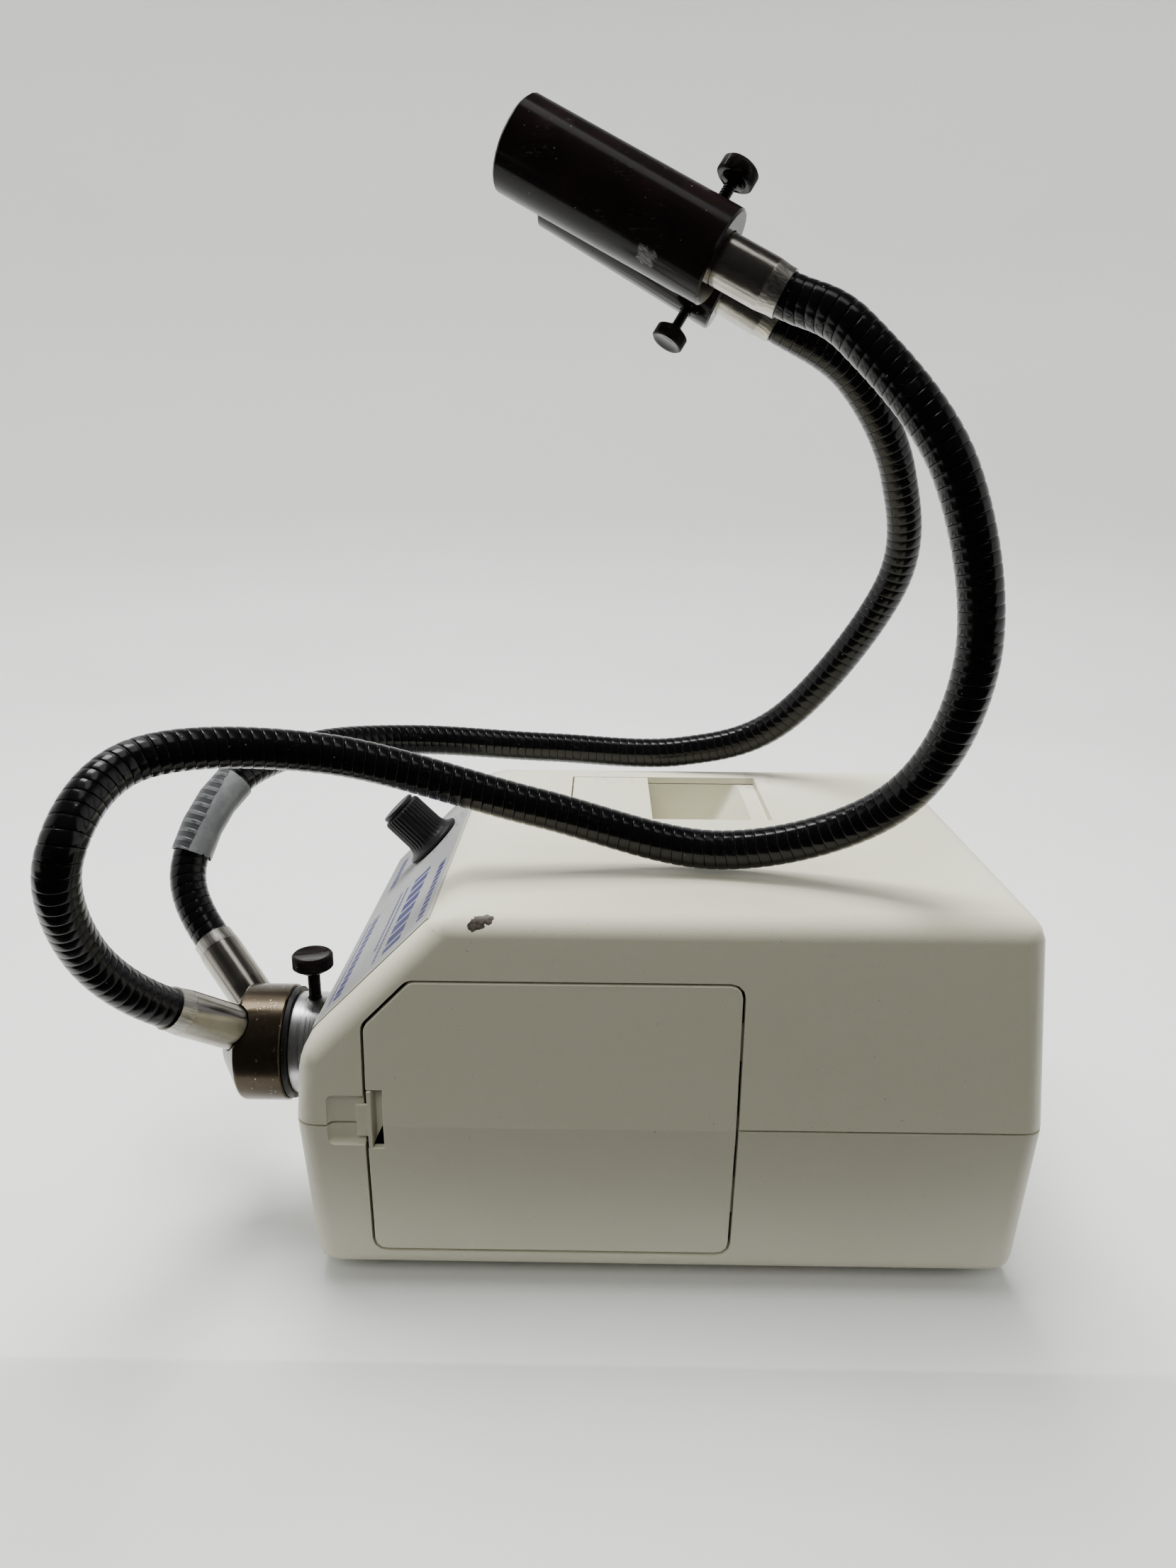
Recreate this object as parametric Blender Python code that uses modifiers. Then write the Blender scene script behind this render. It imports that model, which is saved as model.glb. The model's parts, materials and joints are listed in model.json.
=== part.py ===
"""Fibre-optic microscope illuminator: a 150 W cold-light source whose two gooseneck light guides
end in focusing lens barrels.

Metres, +Z up. The front panel faces -Y and the lamp door is on +X. The parts are placed in the
housing's own frame (centre of its footprint, z = 0 at its lower edge) and hang from one empty,
which moves them so that the origin lies under the middle of the whole object.
"""
from math import cos, pi, radians, sin, tan

import bmesh
import bpy
from mathutils import Matrix, Vector

# ---------------------------------------------------------------- driving dimensions
# Housing: two drafted halves that meet at the parting line
HOUSING_WIDTH = 0.165
HOUSING_DEPTH = 0.216
HOUSING_HEIGHT = 0.115
PARTING_Z = 0.0515
WALL = 0.0025
UPPER_DRAFT = tan(radians(4.0))
LOWER_DRAFT = tan(radians(3.2))
EDGE_RADIUS = 0.0065
PARTING_GAP = 0.0008
GAP = 0.0003
FOOT_HEIGHT = 0.0035
FOOT_RADIUS = 0.0075

# Slanted control panel at the top of the front
SLANT_FOOT_Z = 0.0734
SLANT_ANGLE = radians(45)

# Lamp door in the +X side and its latch
DOOR_FRONT_Y = -0.0866
DOOR_REAR_Y = 0.0200
DOOR_LOW_Z = 0.0080
DOOR_HIGH_Z = 0.0955
DOOR_CHAMFER = 0.0135
DOOR_CORNER = 0.0035
DOOR_GAP = 0.0008
LATCH_LOW_Z = 0.0440
LATCH_HIGH_Z = 0.0628
LATCH_NOTCH = 0.0047
LATCH_TRAVEL = 0.0022
LATCH_PLATE = 0.0018
LATCH_CORNER_SLOPE = 2.1

# Carrying handle let into the top
HANDLE_X = (-0.0635, -0.0100)
HANDLE_PLATE_Y = (-0.0316, -0.0020)
HANDLE_POCKET_Y = (-0.0020, 0.0400)
HANDLE_DEPTH = 0.0220

# Optical axis: nosepiece, light-guide head and lamp share it
AXIS_X = 0.0400
AXIS_Z = 0.0545
NOSE_RADIUS = 0.0160
NOSE_BORE = 0.0128
HEAD_RADIUS = 0.0184
HEAD_FACE_RADIUS = 0.0088
HEAD_REAR_Y = -0.1186
HEAD_CONE_Y = -0.1328
HEAD_FACE_Y = -0.1397
NOSE_REACH = 0.0088

# Light guides
ARM_RADIUS = 0.0060
FERRULE_RADIUS = 0.0070
FERRULE_SWAGE = 0.0066
ARM_SPACING = 0.0090
SQUARE_END = 0.0015
BARREL_RADIUS = 0.0127
BARREL_LENGTH = 0.0630
BARREL_REAR_BORE = 0.0220
LENS_RADIUS = 0.0108

# Thumb screws: radius of the head, radius of the shank and height of the head
NOSE_SCREW = (0.0064, 0.0020, 0.0048)
BARREL_SCREW = (0.0053, 0.00165, 0.0044)

# Knob on the control panel
KNOB_X = -0.0320
KNOB_UP_SLANT = 0.0342
KNOB_SKIRT_RADIUS = 0.0112
KNOB_BODY_RADIUS = 0.0080
KNOB_HEIGHT = 0.0185
KNOB_FLUTES = 16

# Fan and lamp
FAN_SIZE = 0.0800
FAN_DEPTH = 0.0250
FAN_X = 0.0335
FAN_Z = 0.0540
FAN_BLADES = 7
LAMP_RADIUS = 0.0252
LAMP_RIM_Y = -0.0460
LAMP_LENGTH = 0.0390

# The housing's footprint centre, seen from the middle of the whole object's base
HOUSING_OFFSET = Vector((-0.00641, 0.03047, FOOT_HEIGHT))

# Each light guide: where its lower ferrule leaves the head, the points its gooseneck passes
# through, which of those points are bending joints, and where its lens barrel points.
GUIDES = {
    "near": {
        "ferrule_foot": Vector((0.0475, -0.1330, 0.0625)),
        "route": [(0.0655, -0.1475, 0.0795), (0.0830, -0.1610, 0.1050), (0.0950, -0.1580, 0.1380),
                  (0.0700, -0.1460, 0.1570), (0.0460, -0.1010, 0.1525), (0.0390, -0.0400, 0.1345),
                  (0.0415, 0.0170, 0.1222), (0.0540, 0.0640, 0.1415), (0.0670, 0.0790, 0.1840),
                  (0.0665, 0.0690, 0.2330), (0.0560, 0.0440, 0.2665), (0.0470, 0.0265, 0.2770)],
        "joints": (3, 7, 9),
        "barrel_rear": Vector((0.0417, 0.0107, 0.2860)),
        "barrel_axis": Vector((-0.125, -0.874, 0.470)),
        "screw_up": 1,
        "screw_shank": 0.0104,
    },
    "far": {
        "ferrule_foot": Vector((0.0315, -0.1330, 0.0635)),
        "route": [(0.0170, -0.1510, 0.0795), (0.0035, -0.1625, 0.1000), (-0.0170, -0.1520, 0.1245),
                  (-0.0485, -0.1315, 0.1300), (-0.0740, -0.0960, 0.1270), (-0.0820, -0.0420, 0.1222),
                  (-0.0770, 0.0120, 0.1222), (-0.0680, 0.0520, 0.1390), (-0.0510, 0.0850, 0.1920),
                  (-0.0365, 0.0810, 0.2310), (-0.0255, 0.0610, 0.2620), (-0.0208, 0.0345, 0.2780)],
        "joints": (3, 7, 9),
        "barrel_rear": Vector((-0.0220, 0.0185, 0.2875)),
        "barrel_axis": Vector((-0.130, -0.860, 0.490)),
        "screw_up": -1,
        "screw_shank": 0.0117,
    },
}

# ---------------------------------------------------------------- scene and materials
for old in list(bpy.data.objects):
    bpy.data.objects.remove(old, do_unlink=True)

MODEL = bpy.data.collections.new("fiber_optic_illuminator")
CUTTERS = bpy.data.collections.new("cutters")
for collection in (MODEL, CUTTERS):
    bpy.context.scene.collection.children.link(collection)

ROOT = bpy.data.objects.new("housing_frame", None)
ROOT.location = HOUSING_OFFSET
MODEL.objects.link(ROOT)

COLOURS = {
    "housing_plastic": ((0.72, 0.71, 0.66), 0.45, 0.0),
    "label_film": ((0.66, 0.67, 0.69), 0.35, 0.0),
    "black_plastic": ((0.02, 0.02, 0.022), 0.40, 0.0),
    "black_rubber": ((0.03, 0.03, 0.03), 0.80, 0.0),
    "black_anodised": ((0.015, 0.014, 0.015), 0.25, 0.8),
    "conduit_black": ((0.008, 0.008, 0.009), 0.18, 0.0),
    "bronze_anodised": ((0.17, 0.12, 0.07), 0.35, 0.9),
    "steel": ((0.62, 0.60, 0.57), 0.28, 1.0),
    "aluminium": ((0.78, 0.78, 0.79), 0.30, 1.0),
    "sheet_steel": ((0.55, 0.56, 0.58), 0.40, 1.0),
    "core_steel": ((0.20, 0.20, 0.21), 0.50, 0.9),
    "coil_wrap": ((0.65, 0.50, 0.12), 0.50, 0.0),
    "circuit_board": ((0.05, 0.22, 0.09), 0.45, 0.0),
    "ceramic": ((0.85, 0.84, 0.80), 0.55, 0.0),
    "glass": ((0.85, 0.90, 0.92), 0.05, 0.0),
    "reflector_glass": ((0.80, 0.80, 0.85), 0.10, 0.6),
    "tape": ((0.50, 0.52, 0.55), 0.35, 0.0),
    "switch_red": ((0.45, 0.03, 0.02), 0.35, 0.0),
}


def material(kind):
    found = bpy.data.materials.get(kind)
    if found:
        return found
    colour, roughness, metallic = COLOURS[kind]
    made = bpy.data.materials.new(kind)
    made.use_nodes = True
    shader = made.node_tree.nodes["Principled BSDF"]
    shader.inputs["Base Color"].default_value = (*colour, 1.0)
    shader.inputs["Roughness"].default_value = roughness
    shader.inputs["Metallic"].default_value = metallic
    return made


# ---------------------------------------------------------------- modelling helpers
def add_object(name, data, kind, smooth=True):
    """Link an object under the housing's frame; a kind of None makes it a cutter."""
    made = bpy.data.objects.new(name, data)
    made.parent = ROOT
    if kind is None:
        CUTTERS.objects.link(made)
        made.hide_render = True
        made.display_type = "WIRE"
        return made
    MODEL.objects.link(made)
    data.materials.append(material(kind))
    if smooth and isinstance(data, bpy.types.Mesh):
        data.shade_smooth()
        data.set_sharp_from_angle(angle=radians(35))
    return made


def mesh_object(name, shape, kind):
    """Turn a bmesh into an object."""
    data = bpy.data.meshes.new(name)
    shape.to_mesh(data)
    shape.free()
    return add_object(name, data, kind)


def box(name, low, high, kind):
    """Axis-aligned box between two corners."""
    shape = bmesh.new()
    bmesh.ops.create_cube(shape, size=1.0)
    low, high = Vector(low), Vector(high)
    for vertex in shape.verts:
        vertex.co = (low + high) / 2 + Vector(c * s for c, s in zip(vertex.co, high - low))
    return mesh_object(name, shape, kind)


def aimed(direction):
    """Rotation that turns local +Z to a direction."""
    return Vector(direction).to_track_quat("Z", "Y").to_euler()


def rod(name, radius, start, end, kind, segments=32):
    """Cylinder between two points."""
    start, end = Vector(start), Vector(end)
    shape = bmesh.new()
    bmesh.ops.create_cone(shape, cap_ends=True, segments=segments, radius1=radius, radius2=radius,
                          depth=(end - start).length)
    made = mesh_object(name, shape, kind)
    made.location = (start + end) / 2
    made.rotation_euler = aimed(end - start)
    return made


def turned(name, profile, kind, place, direction, steps=32, hollow=False):
    """Spin a (radius, height) profile, which runs down its outer side, about a direction.

    A hollow profile is a loop that comes back up its inner side."""
    data = bpy.data.meshes.new(name)
    count = len(profile)
    edges = [(i, i + 1) for i in range(count - 1)]
    if hollow:
        edges.append((count - 1, 0))
    data.from_pydata([(radius, 0.0, height) for radius, height in profile], edges, [])
    made = add_object(name, data, kind, smooth=False)
    made.location = place
    made.rotation_euler = aimed(direction)
    spin = made.modifiers.new("turn", "SCREW")
    spin.steps = steps
    spin.render_steps = steps
    spin.use_merge_vertices = True
    spin.merge_threshold = 0.00001
    spin.use_smooth_shade = True
    return made


def outline(name, points, thickness, kind, place, turn=(0.0, 0.0, 0.0)):
    """Flat outline with a thickness, centred on its own plane."""
    flat = bpy.data.curves.new(name, "CURVE")
    flat.dimensions = "2D"
    flat.fill_mode = "BOTH"
    flat.extrude = thickness / 2
    spline = flat.splines.new("POLY")
    spline.points.add(len(points) - 1)
    for point, (x, y) in zip(spline.points, points):
        point.co = (x, y, 0.0, 1.0)
    spline.use_cyclic_u = True
    made = add_object(name, flat, kind, smooth=False)
    made.location = place
    made.rotation_euler = turn
    return as_mesh(made)


def as_mesh(curve_object):
    """Replace a curve object by a mesh whose caps are welded on."""
    name = curve_object.name
    graph = bpy.context.evaluated_depsgraph_get()
    data = bpy.data.meshes.new_from_object(curve_object.evaluated_get(graph))
    shape = bmesh.new()
    shape.from_mesh(data)
    bmesh.ops.remove_doubles(shape, verts=shape.verts, dist=0.00001)
    bmesh.ops.recalc_face_normals(shape, faces=shape.faces)
    shape.to_mesh(data)
    shape.free()
    made = bpy.data.objects.new(name + "_mesh", data)
    made.parent = ROOT
    made.matrix_local = curve_object.matrix_local
    for collection in curve_object.users_collection:
        collection.objects.link(made)
    made.hide_render = curve_object.hide_render
    made.display_type = curve_object.display_type
    bpy.data.objects.remove(curve_object, do_unlink=True)
    made.name = name
    data.shade_smooth()
    data.set_sharp_from_angle(angle=radians(35))
    return made


def boolean(body, tool, operation="DIFFERENCE"):
    step = body.modifiers.new(tool.name, "BOOLEAN")
    step.operation = operation
    step.object = tool
    return body


def bevel(body, width, segments=2, angle=radians(30)):
    step = body.modifiers.new("round_edges", "BEVEL")
    step.width = width
    step.segments = segments
    step.limit_method = "ANGLE"
    step.angle_limit = angle
    return body


def half_width(z):
    rise = z - PARTING_Z
    return HOUSING_WIDTH / 2 - (rise * UPPER_DRAFT if rise > 0 else -rise * LOWER_DRAFT)


def half_depth(z):
    rise = z - PARTING_Z
    return HOUSING_DEPTH / 2 - (rise * UPPER_DRAFT if rise > 0 else -rise * LOWER_DRAFT)


SLANT_NORMAL = Vector((0.0, -sin(SLANT_ANGLE), cos(SLANT_ANGLE)))
SLANT_UP = Vector((0.0, cos(SLANT_ANGLE), sin(SLANT_ANGLE)))
SLANT_FOOT = Vector((0.0, -half_depth(SLANT_FOOT_Z), SLANT_FOOT_Z))
SLANT_LENGTH = (HOUSING_HEIGHT - SLANT_FOOT_Z) / sin(SLANT_ANGLE)


def on_slant(x, up, out=0.0):
    """Point on the slanted panel: across, up the slope, and out from its surface."""
    return Vector((x, 0.0, 0.0)) + SLANT_FOOT + SLANT_UP * up + SLANT_NORMAL * out


def drafted_block(name, inset, radius):
    """The housing's closed outer form, or its inside when the inset is the wall."""
    shape = bmesh.new()
    bmesh.ops.create_cube(shape, size=2.0)
    for vertex in shape.verts:
        vertex.co.z = HOUSING_HEIGHT - inset if vertex.co.z > 0 else inset
    bmesh.ops.bisect_plane(shape, geom=shape.verts[:] + shape.edges[:] + shape.faces[:],
                           plane_co=(0, 0, PARTING_Z), plane_no=(0, 0, 1))
    for vertex in shape.verts:
        z = vertex.co.z
        vertex.co.x = (half_width(z) - inset) * (1 if vertex.co.x > 0 else -1)
        vertex.co.y = (half_depth(z) - inset) * (1 if vertex.co.y > 0 else -1)
    bmesh.ops.bisect_plane(shape, geom=shape.verts[:] + shape.edges[:] + shape.faces[:],
                           plane_co=SLANT_FOOT - SLANT_NORMAL * inset, plane_no=SLANT_NORMAL,
                           clear_outer=True)
    rim = [edge for edge in shape.edges if edge.is_boundary]
    bmesh.ops.holes_fill(shape, edges=rim)
    bmesh.ops.recalc_face_normals(shape, faces=shape.faces)
    made = mesh_object(name, shape, None)
    return bevel(made, radius, segments=4, angle=radians(25))


def half_space(name, upper):
    """Box that holds everything on the other side of the parting line."""
    far = 0.3
    if upper:
        return box(name, (-far, -far, -far), (far, far, PARTING_Z + PARTING_GAP / 2), None)
    return box(name, (-far, -far, PARTING_Z - PARTING_GAP / 2), (far, far, far), None)


def parting_ring(name, outer, inner, low, high):
    """Band that follows the inside of the walls at the parting line."""
    ring = box(name, (-half_width(PARTING_Z) + outer, -half_depth(PARTING_Z) + outer, low),
               (half_width(PARTING_Z) - outer, half_depth(PARTING_Z) - outer, high), None)
    hole = box(name + "_inside", (-half_width(PARTING_Z) + inner, -half_depth(PARTING_Z) + inner,
                                  low - WALL),
               (half_width(PARTING_Z) - inner, half_depth(PARTING_Z) - inner, high + WALL), None)
    bevel(ring, EDGE_RADIUS - outer / 2, segments=4, angle=radians(85))
    return boolean(ring, hole)


def door_outline(grow):
    """Door edge in the (y, z) plane: square at the rear, chamfered at the upper front corner."""
    front, rear = DOOR_FRONT_Y - grow, DOOR_REAR_Y + grow
    low, high = DOOR_LOW_Z - grow, DOOR_HIGH_Z + grow
    radius = DOOR_CORNER + grow
    lean = 0.0012
    points = []
    for centre_y, centre_z, start, sweep in (
            (rear - radius - lean, low + radius, -90, 90),
            (rear - radius, high - radius, 0, 90),
            (front + DOOR_CHAMFER + radius * 0.414, high - radius, 90, 45),
            (front + radius, high - DOOR_CHAMFER - radius * 0.414, 135, 45),
            (front + radius, low + radius, 180, 90)):
        for step in range(4):
            angle = radians(start + sweep * step / 3)
            points.append((centre_y + radius * cos(angle), centre_z + radius * sin(angle)))
    return points


def door_prism(name, grow, inner_x):
    """Slab through the +X wall with the door's outline."""
    thick = 0.09 - inner_x
    return outline(name, door_outline(grow), thick, None, (inner_x + thick / 2, 0.0, 0.0),
                   (pi / 2, 0.0, pi / 2))


OUTER = drafted_block("housing_outside", 0.0, EDGE_RADIUS)
INNER = drafted_block("housing_inside", WALL, EDGE_RADIUS - WALL)


def shell_cutters():
    """Openings that cross the parting line and so cut both halves."""
    recess_y = (DOOR_FRONT_Y - 0.0115, DOOR_FRONT_Y + 0.0010)
    recess = box("latch_recess", (half_width(PARTING_Z) - 0.0020, recess_y[0], 0.0450),
                 (0.09, recess_y[1], 0.0612), None)
    bevel(recess, 0.0019, segments=4)
    nose = rod("nosepiece_hole", NOSE_RADIUS + GAP, (AXIS_X, -0.13, AXIS_Z),
               (AXIS_X, -0.10, AXIS_Z), None, segments=48)
    panel = box("rear_opening", (-0.0670, 0.09, 0.0110), (0.0670, 0.13, 0.0960), None)
    bevel(panel, 0.0030, segments=3, angle=radians(60))
    return [door_prism("door_opening", DOOR_GAP, 0.070), recess, nose, panel]


# ---------------------------------------------------------------- housing parts
def make_shells():
    openings = shell_cutters()
    upper = add_object("upper_shell", OUTER.data.copy(), "housing_plastic")
    lower = add_object("lower_shell", OUTER.data.copy(), "housing_plastic")
    for shell in (upper, lower):
        bevel(shell, EDGE_RADIUS, segments=4, angle=radians(25))
        boolean(shell, INNER)
    boolean(upper, half_space("below_parting", upper=True))
    boolean(lower, half_space("above_parting", upper=False))
    boolean(lower, parting_ring("lip_root", 0.0012, 0.0047, 0.0440, 0.0508), "UNION")
    boolean(lower, parting_ring("lip", WALL + GAP, 0.0042, 0.0455, 0.0550), "UNION")
    for shell in (upper, lower):
        for opening in openings:
            boolean(shell, opening)
    boolean(upper, box("handle_opening", (HANDLE_X[0], HANDLE_PLATE_Y[0], 0.1),
                       (HANDLE_X[1], HANDLE_POCKET_Y[1], 0.13), None))
    boolean(upper, rod("knob_hole", 0.0040, on_slant(KNOB_X, KNOB_UP_SLANT, -0.01),
                       on_slant(KNOB_X, KNOB_UP_SLANT, 0.01), None))
    label_bed = box("label_bed", (-0.0700, 0.0040, -0.0006), (0.0710, 0.0540, 0.01), None)
    label_bed.location = SLANT_FOOT
    label_bed.rotation_euler.x = SLANT_ANGLE
    boolean(upper, label_bed)
    for side in (-1, 1):
        for end in (-1, 1):
            boolean(lower, rod("foot_seat", FOOT_RADIUS + GAP, (side * 0.062, end * 0.088, -0.01),
                               (side * 0.062, end * 0.088, 0.0010), None))
    boolean(lower, vent_slots("floor_vents", count=9, pitch=0.0070, centre=(AXIS_X, -0.0350, 0.0),
                              slot=(0.0030, 0.0500, 0.0100)))


def vent_slots(name, count, pitch, centre, slot):
    """Row of box cutters side by side along X."""
    shape = bmesh.new()
    for index in range(count):
        shift = Vector(((index - (count - 1) / 2) * pitch, 0, 0)) + Vector(centre)
        size = Matrix.Diagonal((*slot, 1.0))
        bmesh.ops.create_cube(shape, size=1.0, matrix=Matrix.Translation(shift) @ size)
    return mesh_object(name, shape, None)


def make_door():
    """Piece of the side wall itself, with a notch for the latch and two hook tabs at the rear."""
    door = add_object("lamp_door", OUTER.data.copy(), "housing_plastic")
    bevel(door, EDGE_RADIUS, segments=4, angle=radians(25))
    boolean(door, INNER)
    boolean(door, door_prism("door_slab", 0.0, 0.0725), "INTERSECT")
    for low in (0.0200, 0.0700):
        base = half_width(low + 0.012) - WALL
        boolean(door, box("tab_base", (base - 0.0040, 0.0110, low), (base + 0.0015, 0.0180, low + 0.012),
                          None), "UNION")
        boolean(door, box("tab_hook", (base - 0.0040, 0.0115, low + 0.0005),
                          (base - 0.0014, 0.0240, low + 0.0115), None), "UNION")
    boolean(door, box("latch_notch", (0.070, DOOR_FRONT_Y - 0.01, LATCH_LOW_Z),
                      (0.090, DOOR_FRONT_Y + LATCH_NOTCH, LATCH_HIGH_Z), None))


def make_latch():
    """Sprung T-shaped tongue. Its bar slides in the door's notch, its tip reaches the recess and its
    scooped plate slides in behind the door's skin."""
    face = half_width(PARTING_Z) - 0.0004
    under = min(half_width(0.0500), half_width(LATCH_HIGH_Z)) - WALL - GAP
    low, high = LATCH_LOW_Z + GAP, LATCH_HIGH_Z - GAP
    front, bar = DOOR_FRONT_Y + 0.0002, DOOR_FRONT_Y + 0.0013
    scoop = DOOR_FRONT_Y + LATCH_NOTCH - LATCH_TRAVEL - GAP
    rear = DOOR_FRONT_Y + LATCH_NOTCH + 0.0020
    latch = outline("door_latch",
                    [(face, front), (face, bar), (under, scoop), (under, rear), (under - LATCH_PLATE, rear),
                     (under - LATCH_PLATE, front)],
                    high - low, "housing_plastic", (0.0, 0.0, (low + high) / 2))
    rise = (rear - bar) * LATCH_CORNER_SLOPE
    boolean(latch, outline("latch_corner",
                           [(bar, low), (bar, low - 0.001), (rear + 0.001, low - 0.001),
                            (rear + 0.001, low + rise), (rear, low + rise)],
                           0.02, None, (under, 0.0, 0.0), (pi / 2, 0.0, pi / 2)))
    tip = box("latch_tip", (face - 0.0012, DOOR_FRONT_Y - 0.0030, 0.0480),
              (face - 0.0002, DOOR_FRONT_Y + 0.0008, 0.0582), None)
    boolean(latch, tip, "UNION")


def make_label():
    label = box("front_label", (-0.0700 + GAP, 0.0040 + GAP, -GAP), (0.0710 - GAP, 0.0540 - GAP, GAP),
                "label_film")
    label.location = SLANT_FOOT
    label.rotation_euler.x = SLANT_ANGLE
    boolean(label, rod("label_hole", 0.0046, on_slant(KNOB_X, KNOB_UP_SLANT, -0.01),
                       on_slant(KNOB_X, KNOB_UP_SLANT, 0.01), None))


def make_handle():
    """Tub under the top, with a sloping rear wall, and the grip plate that bridges its front."""
    top = HOUSING_HEIGHT - WALL - GAP
    low = HOUSING_HEIGHT - HANDLE_DEPTH
    rim = 0.0030
    tub = box("handle_tub", (HANDLE_X[0] - rim, HANDLE_PLATE_Y[0] - rim, low - 0.002),
              (HANDLE_X[1] + rim, HANDLE_POCKET_Y[1] + rim, top), "housing_plastic")
    hollow = box("handle_hollow", (HANDLE_X[0], HANDLE_PLATE_Y[0], low),
                 (HANDLE_X[1], HANDLE_POCKET_Y[1], top + 0.01), None)
    ramp = bmesh.new()
    ramp.from_mesh(hollow.data)
    for vertex in ramp.verts:
        if vertex.co.z < low + 0.001 and vertex.co.y > 0:
            vertex.co.y -= 0.0180
    ramp.to_mesh(hollow.data)
    ramp.free()
    bevel(hollow, 0.0030, segments=3, angle=radians(20))
    boolean(tub, hollow)
    plate = box("handle_plate", (HANDLE_X[0] + GAP, HANDLE_PLATE_Y[0] + 0.0006, HOUSING_HEIGHT - 0.0024),
                (HANDLE_X[1] - GAP, HANDLE_PLATE_Y[1], HOUSING_HEIGHT - 0.0001), "housing_plastic")
    boolean(plate, box("grip_lip", (HANDLE_X[0] + 0.0035, HANDLE_PLATE_Y[1] - 0.0035,
                                    HOUSING_HEIGHT - 0.0075),
                       (HANDLE_X[1] - 0.0035, HANDLE_PLATE_Y[1] - 0.0004, HOUSING_HEIGHT - 0.0020),
                       None), "UNION")
    bevel(plate, 0.0006)


def make_feet():
    for end, y in (("front", -0.088), ("rear", 0.088)):
        for side, x in (("left", -0.062), ("right", 0.062)):
            turned(f"{end}_{side}_foot",
                   [(0.0, FOOT_HEIGHT + 0.0007), (FOOT_RADIUS, FOOT_HEIGHT + 0.0007),
                    (FOOT_RADIUS, 0.0008), (FOOT_RADIUS - 0.0008, 0.0), (0.0, 0.0)],
                   "black_rubber", (x, y, -FOOT_HEIGHT), (0, 0, 1), steps=16)


def make_rear():
    """Sheet-metal rear panel with the fan's slots, the mains inlet, its fuse drawer and the switch."""
    back = 0.1018
    panel = box("rear_panel", (-0.0705, back - 0.0015, 0.0080), (0.0705, back, 0.0990), "sheet_steel")
    slots = vent_slots("fan_slots", count=9, pitch=0.0075, centre=(FAN_X, back, FAN_Z),
                       slot=(0.0035, 0.0200, 0.0640))
    boolean(panel, slots)
    inlet_x, inlet_z = -0.0450, 0.0360
    boolean(panel, box("inlet_cutout", (inlet_x - 0.0140, 0.09, inlet_z - 0.0200),
                       (inlet_x + 0.0140, 0.11, inlet_z + 0.0200), None))
    boolean(panel, box("switch_cutout", (-0.0565, 0.09, 0.0680), (-0.0335, 0.11, 0.0840), None))

    inlet = box("mains_inlet", (inlet_x - 0.0137, 0.0760, inlet_z - 0.0197),
                (inlet_x + 0.0137, back + 0.0005, inlet_z + 0.0197), "black_plastic")
    boolean(inlet, box("inlet_flange", (inlet_x - 0.0170, back + GAP, inlet_z - 0.0225),
                       (inlet_x + 0.0170, back + 0.0025, inlet_z + 0.0225), None), "UNION")
    boolean(inlet, box("inlet_socket", (inlet_x - 0.0115, 0.0850, inlet_z - 0.0080),
                       (inlet_x + 0.0115, 0.12, inlet_z + 0.0080), None))
    boolean(inlet, box("drawer_bay", (inlet_x - 0.0105, 0.0840, inlet_z - 0.0180),
                       (inlet_x + 0.0105, 0.12, inlet_z - 0.0110), None))
    for offset, lift in ((-0.0070, 0.0020), (0.0, -0.0020), (0.0070, 0.0020)):
        boolean(inlet, box("contact_blade", (inlet_x + offset - 0.0010, 0.0800, inlet_z + lift - 0.0020),
                           (inlet_x + offset + 0.0010, 0.1000, inlet_z + lift + 0.0020), None), "UNION")
    drawer = box("fuse_drawer", (inlet_x - 0.0102, 0.0860, inlet_z - 0.0177),
                 (inlet_x + 0.0102, back + 0.0030, inlet_z - 0.0113), "black_plastic")
    boolean(drawer, rod("fuse_space", 0.0026, (inlet_x - 0.0085, 0.0930, inlet_z - 0.0115),
                        (inlet_x + 0.0085, 0.0930, inlet_z - 0.0115), None, segments=16))

    bezel = box("switch_bezel", (-0.0562, 0.0860, 0.0683), (-0.0338, back + 0.0005, 0.0837),
                "black_plastic")
    boolean(bezel, box("bezel_flange", (-0.0590, back + GAP, 0.0660), (-0.0310, back + 0.0020, 0.0860),
                       None), "UNION")
    boolean(bezel, box("rocker_bay", (-0.0540, 0.0880, 0.0705), (-0.0360, 0.12, 0.0815), None))
    rocker_place = (-0.0450, back - 0.0035, 0.0760)
    rocker = [(-0.0072, 0.0052), (-0.0038, 0.0047), (0.0038, 0.0064), (0.0072, 0.0080),
              (0.0066, -0.0024), (0.0, -0.0070), (-0.0066, -0.0024)]
    outline("power_rocker", rocker, 0.0102, "switch_red", rocker_place)


def make_chassis():
    plate = box("chassis_plate", (-0.0720, -0.0980, 0.0040), (0.0700, 0.0950, 0.0052), "sheet_steel")
    boolean(plate, vent_slots("plate_vents", count=9, pitch=0.0070, centre=(AXIS_X, -0.0350, 0.0045),
                              slot=(0.0030, 0.0500, 0.0100)))


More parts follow.
